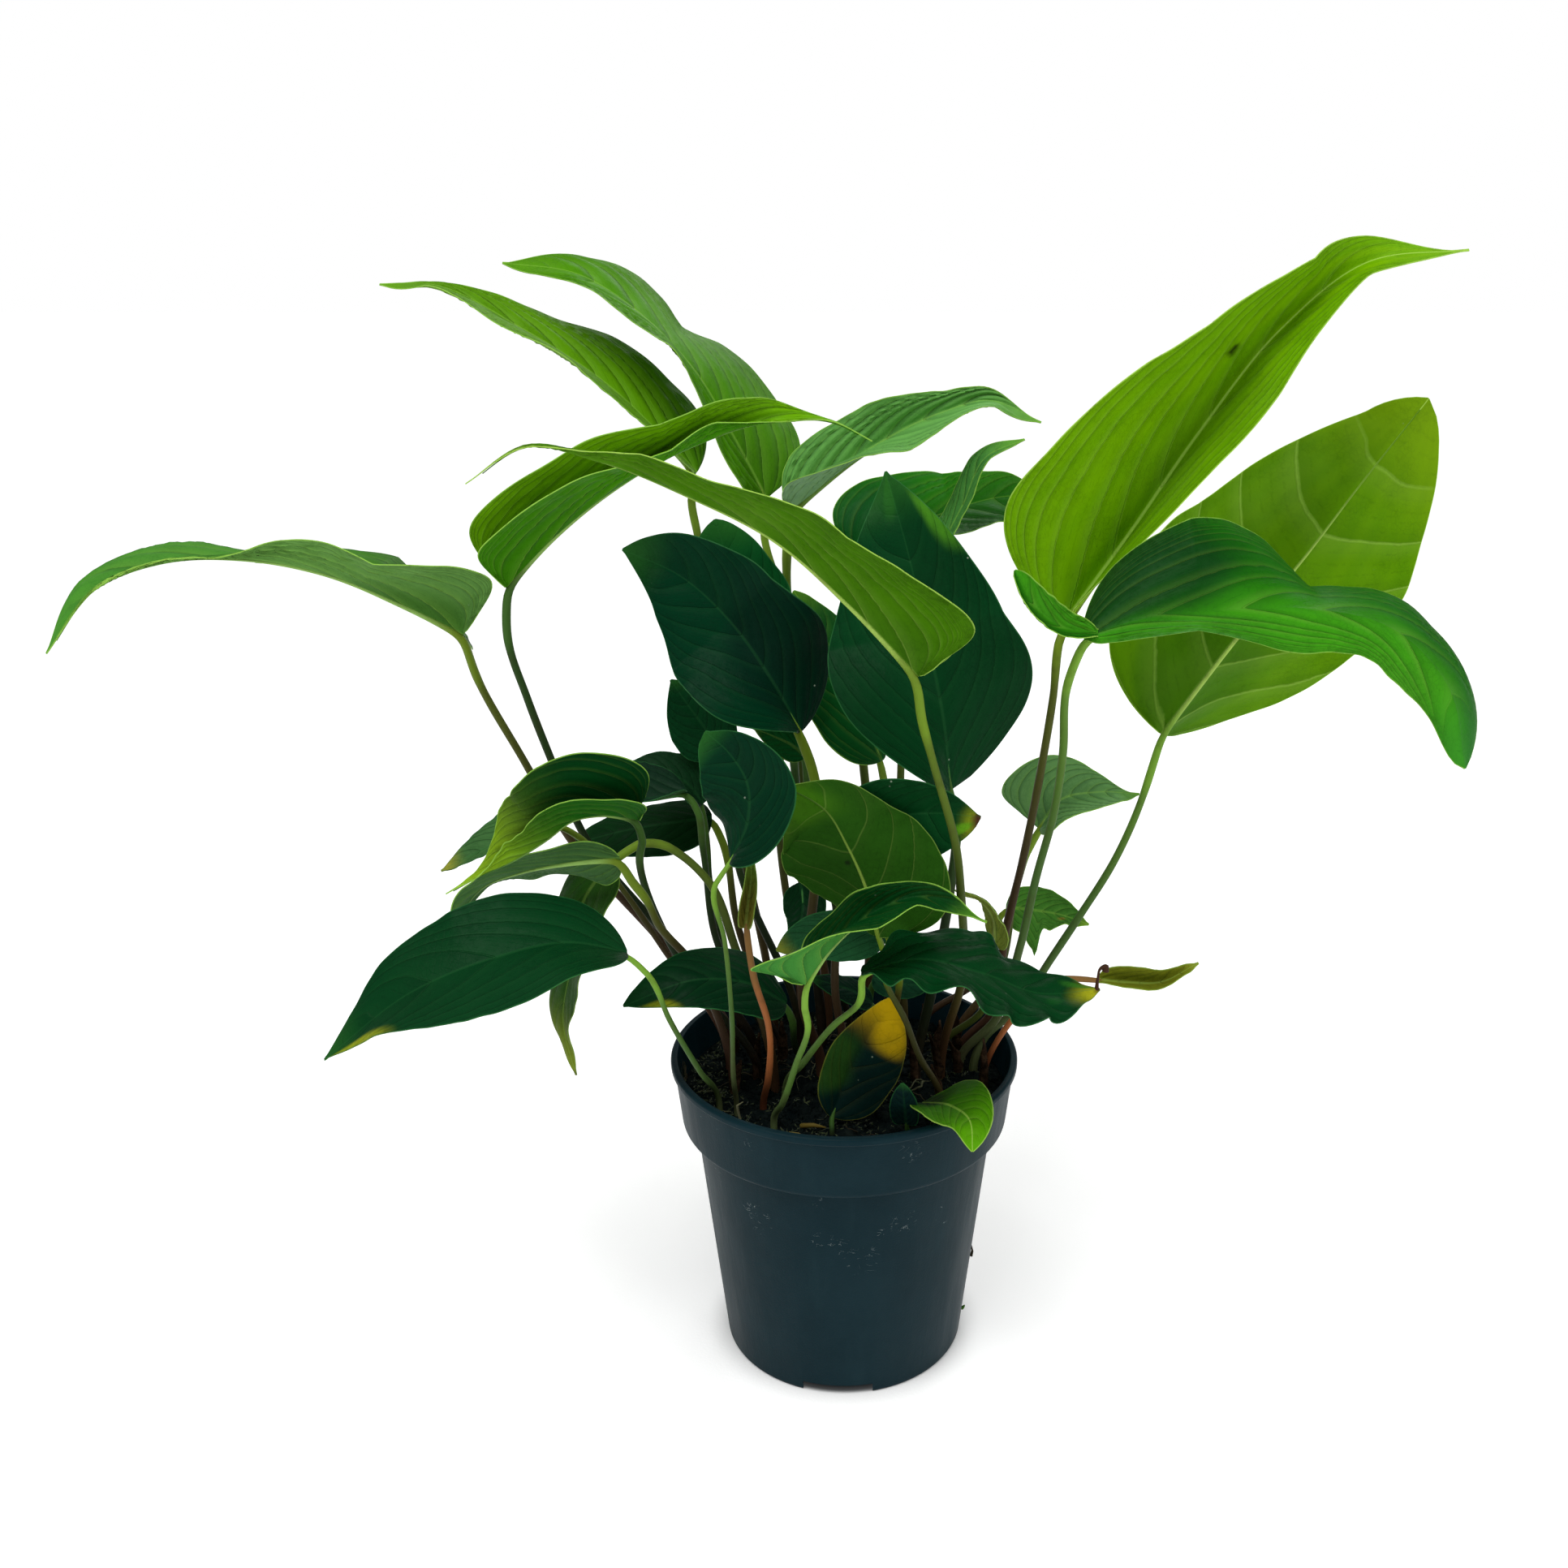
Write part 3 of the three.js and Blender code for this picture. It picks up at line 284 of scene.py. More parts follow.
def ribFrame(leaf, runs):  # centre, way along, way up, way right at each run from base to tip
    at, length = smoothCurve(leaf["rib"])
    along = unit(at(np.minimum(runs + 0.005, 1)) - at(np.maximum(runs - 0.005, 0)))
    faces = unit(np.array(leaf["face"], float))
    spot = runs * (len(faces) - 1)
    i = np.minimum(spot.astype(int), len(faces) - 2)
    part = (spot - i)[:, None]
    up = faces[i] * (1 - part) + faces[i + 1] * part
    up = unit(up - along * (up * along).sum(1)[:, None])
    return at(runs), along, up, np.cross(along, up), length


def ripples(a, b, seed):  # smooth noise in about -1..1 for tints and edges
    random = np.random.default_rng(seed)
    total = 0
    for _ in range(6):
        turn = random.uniform(0, 2 * math.pi)
        pitch = random.uniform(0.6, 1.6)
        total = total + np.sin(pitch * (a * math.cos(turn) + b * math.sin(turn)) + random.uniform(0, 6.3))
    return total / 3


def bladeWidth(leaf, run, side, frill, beat, seed):  # half width on each side, and the lobes' share
    widest, full = (np.array(leaf[key], float)[side] for key in ("widest", "width"))
    rise, sharp = blade["roundness"], blade["cornerSharp"]
    fall = rise * (1 - widest) / widest
    lobed = np.clip(run / blade["lobeEnd"], 0, 1)

    def opened(x):  # a cornered base opens at once
        return x / (x**sharp + leaf["corner"] ** sharp) ** (1 / sharp)

    if leaf["corner"]:
        rest = np.clip((1 - run) / (1 - widest), 0, 1)
        fall = blade["taper"] * fall
        share = np.where(run < widest, opened(run) / opened(widest), rest**fall * (1 + fall * (1 - rest)))
        lobed = opened(run) * np.cos(math.pi / 2 * lobed) ** 2
    else:
        share = (run / widest) ** rise * ((1 - run) / (1 - widest)) ** fall
        lobed = np.sin(math.pi * lobed)
    width = full * share * (1 + blade["outline"] * ripples(22 * run, 5 * side, seed))
    width = width + blade["frillSway"] * frill * np.cos(beat)
    for place, half, extent, deep in leaf["bites"]:  # notches, or bulges where deep is negative
        width = width * (1 - deep * (side == half) * np.exp(-(((run - place) / extent) ** 2)))
    least = blade["baseHalfWidth"] * (1 - run) + blade["tipHalfWidth"] * run
    return np.maximum(width, least), full, lobed


def bladeSheet(leaf, runs, spans, seed):  # the middle of the blade, its normals and what its colours need
    centre, along, up, right, length = ribFrame(leaf, runs)
    run = runs[:, None]
    across = spans[None, :]
    out = np.abs(across)
    side = (across >= 0).astype(int)
    fold, curl, lobe, frill = (
        np.array(leaf[key], float)[side] for key in ("fold", "curl", "lobe", "frill"))
    frill = frill * smoothStep(0.02, 0.12, run) * (1 - smoothStep(0.9, 1, run))
    beat = 2 * math.pi * blade["frills"] * run + blade["frillDrift"] * ripples(9 * run, 3 * side, seed + 6)
    width, full, lobed = bladeWidth(leaf, run, side, frill, beat, seed)
    opening = np.minimum(1, width / (blade["relax"] * full))
    bend = np.radians(curl) * out * opening
    angle = (np.radians(fold) * opening + bend / 2) * (1 - np.exp(-out * width / blade["crease"]))
    reach = width * out * np.sinc(bend / 2 / math.pi)
    waving = 2 * math.pi * blade["waves"] * run + side * blade["waveShift"] + len(leaf["rib"])
    wave = leaf["wave"] * out**2 * np.sin(waving)
    crinkle = blade["crinkle"] * out**3 * ripples(60 * run, 3 * side, seed + 1)
    lift = reach * np.sin(angle) + (wave + crinkle) * np.sin(math.pi * run) + frill * out**3 * np.sin(beat)
    back = -lobe * length * out * lobed
    flat = np.sign(across) * reach * np.cos(angle)
    sheet = (centre[:, None] + right[:, None] * flat[..., None] + up[:, None] * lift[..., None]
             + along[:, None] * back[..., None])
    normals = unit(np.cross(np.gradient(sheet, axis=1), np.gradient(sheet, axis=0)))
    bow = leaf["lean"] * out ** blade["veinLean"]  # how far towards the tip a side vein has run
    start = (run - bow) / (1 - bow)
    vein = leaf["veins"] * np.where(start > 0, start, start * blade["basalVeins"])
    vein = vein + blade["veinDrift"] * ripples(9 * run, 2.5 * across, seed + 2) * smoothStep(0.05, 0.4, out)
    off = np.abs(vein - np.round(vein))
    fade = smoothStep(0.02, 0.2, out) * (1 - smoothStep(0.8, 1, out))
    fade = fade * smoothStep(0, 0.06, run) * (1 - smoothStep(0.8, 0.97, run))
    bulge = 0.5 - 0.5 * np.cos(2 * math.pi * off) - np.exp(-((off / blade["groove"]) ** 2))
    channel = blade["channel"] * np.exp(-((out * width / blade["channelWide"]) ** 2))  # over the midrib
    sheet = sheet + normals * (leaf["relief"] * fade * bulge - channel * (1 - run))[..., None]
    ribOff = out * width + blade["noRib"] * leaf["ribless"]  # far from the rib where no pale rib shows
    marks = dict(vein=vein, ribOff=ribOff, edgeOff=(1 - out) * width)
    return sheet, normals, dict(marks, run=run + 0 * across, across=across + 0 * run)


def bladeTint(leaf, marks, under, seed):
    run, across = marks["run"], marks["across"]
    drift = ripples(5 * run, 2.2 * across, seed + 3)
    streak = leaf["streak"] * ripples(1.5 * run, 26 * np.abs(across) + 9 * run, seed + 4)
    tone = shade(leaf["lower"] if under else leaf["upper"])[None, None] * (1 + 0.1 * drift)[..., None]
    tone = tone * (1 + streak[..., None] * np.array([0.30, 0.16, 0.3, 0]))

    def paint(hexTone, amount):
        return tone + (shade(hexTone) - tone) * np.clip(amount, 0, 1)[..., None]

    if leaf["otherSide"]:
        tone = paint(leaf["other"], leaf["otherSide"] * smoothStep(-0.5, 0.3, across))
    tone = paint(leaf["tip"], leaf["tipMix"] * smoothStep(leaf["tipFrom"], 1, run + 0.03 * drift))
    # patches: the dark ones at the base of a blade are painted shade, the rest the blade's own colour
    for place, aside, wide, hexTone, amount in leaf["patches"]:
        away = np.hypot((run - place) / wide, (across - aside) / (3.2 * wide))
        away = away + 0.12 * ripples(16 * run, 6 * across, seed + 5)
        tone = paint(hexTone, amount * (1 - smoothStep(0.45, 1, away)))
    if leaf["burn"]:
        tone = paint(blade["burnt"], smoothStep(leaf["burn"], leaf["burn"] + 0.03, run + 0.02 * drift))
    tone[..., 3] = 1
    return tone


def growStalk(leaf, seed):  # the path of the stalk and the midrib, with its radius and colour at each point
    sizes = stalkSizes
    thick = sizes[leaf["size"]] * leaf["thick"]
    scale = thick / sizes["big"]

    def sunk(radius):  # how far the rib's centre lies under the blade
        return 0.3 + 0.7 * radius

    base, _, up, _, ribLength = ribFrame(leaf, np.array([0.0]))
    start = [(*leaf["foot"], sizes["buried"]), (*leaf["foot"], sizes["straight"])]
    end = base[0] - up[0] * sunk(thick * (1 - sizes["taper"]) * 0.6)
    at, length = smoothCurve([*start, *leaf["stalk"], end])
    climb = np.linspace(0, 1, max(12, int(length / sizes["step"])))
    knee = min(sizes["kneeLength"], 0.3 * length)
    kneeShare = 1 - smoothStep(0.75 * knee, 1.1 * knee, (1 - climb) * length)
    girth = thick * (1 - sizes["taper"] * climb) + sizes["knee"] * kneeShare * scale
    girth = girth + sizes["foot"] * np.exp(-climb * length / sizes["footLength"])
    girth = girth + sizes["uneven"] * ripples(climb * 30, 0 * climb, seed)
    soilEnd, middle, top = (shade(tone) for tone in stalkTones[leaf["stem"]])
    drift = 0.1 * ripples(climb * 6, 0 * climb, seed)
    tint = soilEnd + (middle - soilEnd) * smoothStep(0.04, 0.5, climb + drift)[:, None]
    tint = tint + (top - tint) * (smoothStep(0.45, 1, climb) * 0.5 + 0.5 * kneeShare)[:, None]
    runs = np.linspace(sizes["ribFrom"], sizes["ribTo"], max(10, int(ribLength / sizes["step"])))
    centre, _, ribUp, _, _ = ribFrame(leaf, runs)
    thin = sizes["ribStart"] * scale * (1 - smoothStep(-0.5, 1, runs)) + sizes["ribEnd"]
    thin = thin + (girth[-1] * 0.8 - thin) * (1 - smoothStep(0, 0.06, runs))
    ribTone, lower = shade(leaf["ribTone"]), shade(leaf["lower"])
    ribTint = ribTone + (lower - ribTone) * smoothStep(0.3, 1, runs)[:, None]
    ribTint = ribTint + (top - ribTint) * (1 - smoothStep(0, 0.12, runs))[:, None]
    path = np.vstack([at(climb), centre - ribUp * sunk(thin)[:, None]])
    girth = np.append(girth, thin)
    joint = len(climb)
    near, before, after = (slice(joint + k - 4, joint + k + 4) for k in (0, -1, 1))
    for _ in range(sizes["blends"]):  # rounds the bend where the stalk meets the blade
        path[near] = 0.5 * path[near] + 0.25 * (path[before] + path[after])
        girth[near] = 0.5 * girth[near] + 0.25 * (girth[before] + girth[after])
    return path, girth, np.vstack([tint, ribTint])


def stalkTree():  # sweeps a round section along the loose edges and joins it to the rest
    tree, given, out = newTree("stalkSweep", {"Sides": "Int", "Skin": "Material"})
    add = tied(tree)[0]
    girth = add("GeometryNodeInputNamedAttribute", {"Name": "girth"}).outputs[0]
    isStalk = add("FunctionNodeCompare", {0: girth, 1: 0.0}, data_type="FLOAT", operation="GREATER_THAN")
    isStalk = isStalk.outputs[0]
    wanted = {"Geometry": given["Geometry"], "Selection": isStalk}
    parts = add("GeometryNodeSeparateGeometry", wanted).outputs
    line = add("GeometryNodeMeshToCurve", {"Mesh": parts["Selection"]}).outputs[0]
    ring = add("GeometryNodeCurvePrimitiveCircle", {"Resolution": given["Sides"], "Radius": 1.0}).outputs[0]
    sweep = add("GeometryNodeCurveToMesh", {
        "Curve": line, "Profile Curve": ring, "Scale": girth, "Fill Caps": True}).outputs[0]
    sweep = add("GeometryNodeSetMaterial", {"Geometry": sweep, "Material": given["Skin"]}).outputs[0]
    joined = add("GeometryNodeJoinGeometry", {"Geometry": parts["Inverted"]})  # both have their skins
    tree.links.new(sweep, joined.inputs[0])
    smooth = add("GeometryNodeSetShadeSmooth", {"Geometry": joined.outputs[0]}).outputs[0]
    endTree(tree, smooth, out, Selection=isStalk, Material=given["Skin"])
    return tree


skinLook = dict(
    cloudy=60.0, broad=22.0, fine=480.0, net=520.0, specks=210.0, pores=2600.0,  # scales of the patterns
    veinWander=0.1, vein=(0.008, 0.04), flank=0.4,  # shares of the gap between two side veins
    crossVeins=5.0, cross=(0.03, 0.16),
    rib=(0.35, 0.95), edgeHighlight=(0.10, 0.42))  # mm from the rib, and from the edge for the painted highlight along it


def leafGroup():  # the colour, gloss and relief that every leaf finish shares
    group = bpy.data.node_groups.new("leafSkin", "ShaderNodeTree")
    inputs = dict(veins=0.4, paintedVeinShading=0.5, rib=0.5, edgeHighlight=0.6, mottle=0.25, specks=0.3, gloss=0.42)
    for label, value in inputs.items():
        socket = group.interface.new_socket(label, in_out="INPUT", socket_type="NodeSocketFloat")
        socket.default_value = value
    group.interface.new_socket("pale", in_out="INPUT", socket_type="NodeSocketColor")
    for label, kind in dict(Colour="Color", Roughness="Float", Height="Float").items():
        group.interface.new_socket(label, in_out="OUTPUT", socket_type="NodeSocket" + kind)
    given = group.nodes.new("NodeGroupInput").outputs
    out = group.nodes.new("NodeGroupOutput").inputs
    look = skinLook
    add, calc, times, ramp, mixed, grain, read = tied(group)
    plus = functools.partial(calc, "ADD")
    where = add("ShaderNodeTexCoord").outputs["Object"]
    tint, under, run = read("tint", colour=True), read("under"), read("run")
    cloudy = grain(where, look["cloudy"], 4.0, 0.6)
    broad = grain(where, look["broad"])
    fine = grain(where, look["fine"], 3.0, 0.6)
    vein = plus(read("vein"), times(calc("SUBTRACT", cloudy, 0.5), look["veinWander"]))
    off = calc("PINGPONG", vein, 0.5)  # 0 on a side vein, .5 midway between two
    veinFade = ramp(run, 0.72, 0.97, 1.0, 0.0)
    line = times(ramp(off, *look["vein"], 1.0, 0.0), veinFade)
    phase = calc("FRACT", vein)
    shaded = times(ramp(phase, 0.0, look["flank"], 1.0, 0.0), veinFade)  # painted shade on one flank of a vein, painted highlight on the other
    lit = times(ramp(phase, 1 - look["flank"], 1.0), veinFade)
    between = calc("PINGPONG", times(vein, look["crossVeins"]), 0.5)
    thin = times(ramp(between, *look["cross"], 1.0, 0.0), ramp(fine, 0.4, 0.65))
    net = add("ShaderNodeTexVoronoi", {"Vector": where, "Scale": look["net"]}, feature="DISTANCE_TO_EDGE")
    net = times(ramp(net.outputs[0], 0.0, 0.12, 1.0, 0.0), ramp(cloudy, 0.35, 0.65))
    rib = ramp(calc("DIVIDE", read("ribOff"), ramp(run, 0.0, 1.0, 1.0, 0.25)), *look["rib"], 1.0, 0.0)
    # painted highlight: a pale line along every edge of the blade
    edgeHighlight = ramp(read("edgeOff"), *look["edgeHighlight"], 1.0, 0.0)
    bright = mixed(0.5, tint, given["pale"])
    deep = mixed(1.0, tint, (0.42, 0.50, 0.55, 1), "MULTIPLY")
    green = add("ShaderNodeSeparateColor", {0: tint}).outputs[1]
    fresh = ramp(green, 0.04, 0.3, 0.5, 1.0)  # dark blades show less of their veins
    cells = add("ShaderNodeTexVoronoi", {"Vector": where, "Scale": look["specks"]}).outputs
    rare = ramp(add("ShaderNodeSeparateColor", {0: cells["Color"]}).outputs[0], 0.90, 0.92)
    speck = times(ramp(cells["Distance"], 0.045, 0.08, 1.0, 0.0), rare)
    colour = tint
    for amount, tone in (
            (times(given["mottle"], ramp(cloudy, 0.4, 0.75)), deep),
            (times(given["mottle"], ramp(broad, 0.5, 0.8, 0.0, 0.5)), bright),
            (times(net, 0.22), deep),
            (times(thin, 0.18), deep),
            # painted highlight and painted shade on the two flanks of each vein
            (times(lit, given["paintedVeinShading"], fresh, 0.4), bright),
            (times(shaded, given["paintedVeinShading"], fresh), deep),
            (times(line, given["veins"], fresh, plus(times(under, 0.7), 0.3)), given["pale"]),
            (times(rib, given["rib"], fresh), given["pale"]),
            (times(edgeHighlight, given["edgeHighlight"]), given["pale"]),
            (times(speck, given["specks"]), (0.30, 0.36, 0.28, 1))):
        colour = mixed(amount, colour, tone)
    rough = plus(plus(given["gloss"], times(calc("SUBTRACT", fine, 0.5), 0.25)), times(under, 0.12))
    side = ramp(under, 0.0, 1.0, -1.0, 1.0)  # veins are sunk above and stand out below
    raised = times(plus(plus(times(line, 0.20), times(thin, 0.05)), times(net, 0.03)), side)
    height = plus(plus(raised, times(fine, 0.10)), times(cloudy, 0.35))
    height = plus(height, times(grain(where, look["pores"]), 0.02))
    for label, value in dict(Colour=colour, Roughness=rough, Height=height).items():
        group.links.new(value, out[label])
    return group


skinSettings = dict(
    dark=dict(
        pale="#2f6a38", veins=0.28, paintedVeinShading=0.55, rib=0.28, edgeHighlight=0.6, specks=0.7, gloss=0.4, mottle=0.2),
    green=dict(pale="#8fbf4c", veins=0.35, paintedVeinShading=0.6, rib=0.32, edgeHighlight=0.8, specks=0.2, gloss=0.44),
    lime=dict(pale="#a8cf5a", veins=0.25, paintedVeinShading=0.4, rib=0.55, edgeHighlight=0.7, specks=0.1, gloss=0.48),
    olive=dict(pale="#86a84c", veins=0.3, paintedVeinShading=0.15, rib=0.4, edgeHighlight=0.5, specks=0.3, gloss=0.52),
    yellow=dict(pale="#9a9a3a", veins=0.12, paintedVeinShading=0.2, rib=0.3, edgeHighlight=0.3, specks=0.5, gloss=0.45))
skinGroup = leafGroup()
skins = {}
for finish, settings in skinSettings.items():
    shine = 0.04 if finish == "green" else 0.03
    skins[finish], tree, skin = newMaterial("leaf" + finish.capitalize(), specular=shine)
    shared = tied(tree)[0]("ShaderNodeGroup", node_tree=skinGroup)
    for label, value in settings.items():
        shared.inputs[label].default_value = shade(value) if label == "pale" else value
    wireSkin(tree, skin, *(shared.outputs[label] for label in ("Colour", "Roughness", "Height")))


def stalkMaterial():  # long fibres and stains over the tint that each stalk carries
    material, tree, skin = newMaterial("stalkSkin", specular=0.08)
    add, _, _, ramp, mixed, grain, read = tied(tree)
    where = add("ShaderNodeTexCoord").outputs["Object"]
    long = add("ShaderNodeMapping", {"Vector": where, "Scale": (1, 1, 0.12)}).outputs[0]
    fibres = grain(long, 1600.0, 3.0, 0.65)
    stains = grain(where, 90.0, 3.0, 0.6)
    tint = read("tint", colour=True)
    colour = mixed(ramp(fibres, 0.3, 0.7, 0.0, 0.5), tint, (0.03, 0.03, 0.012, 1), "MULTIPLY")
    colour = mixed(ramp(fibres, 0.3, 0.7, 0.35, 0.0), tint, colour)
    colour = mixed(ramp(stains, 0.5, 0.75, 0.0, 0.35), colour, (0.05, 0.035, 0.018, 1))
    wireSkin(tree, skin, colour, ramp(stains, 0.2, 0.8, 0.35, 0.6), fibres, 0.12 * mm)
    return material


stalkSkin = stalkMaterial()
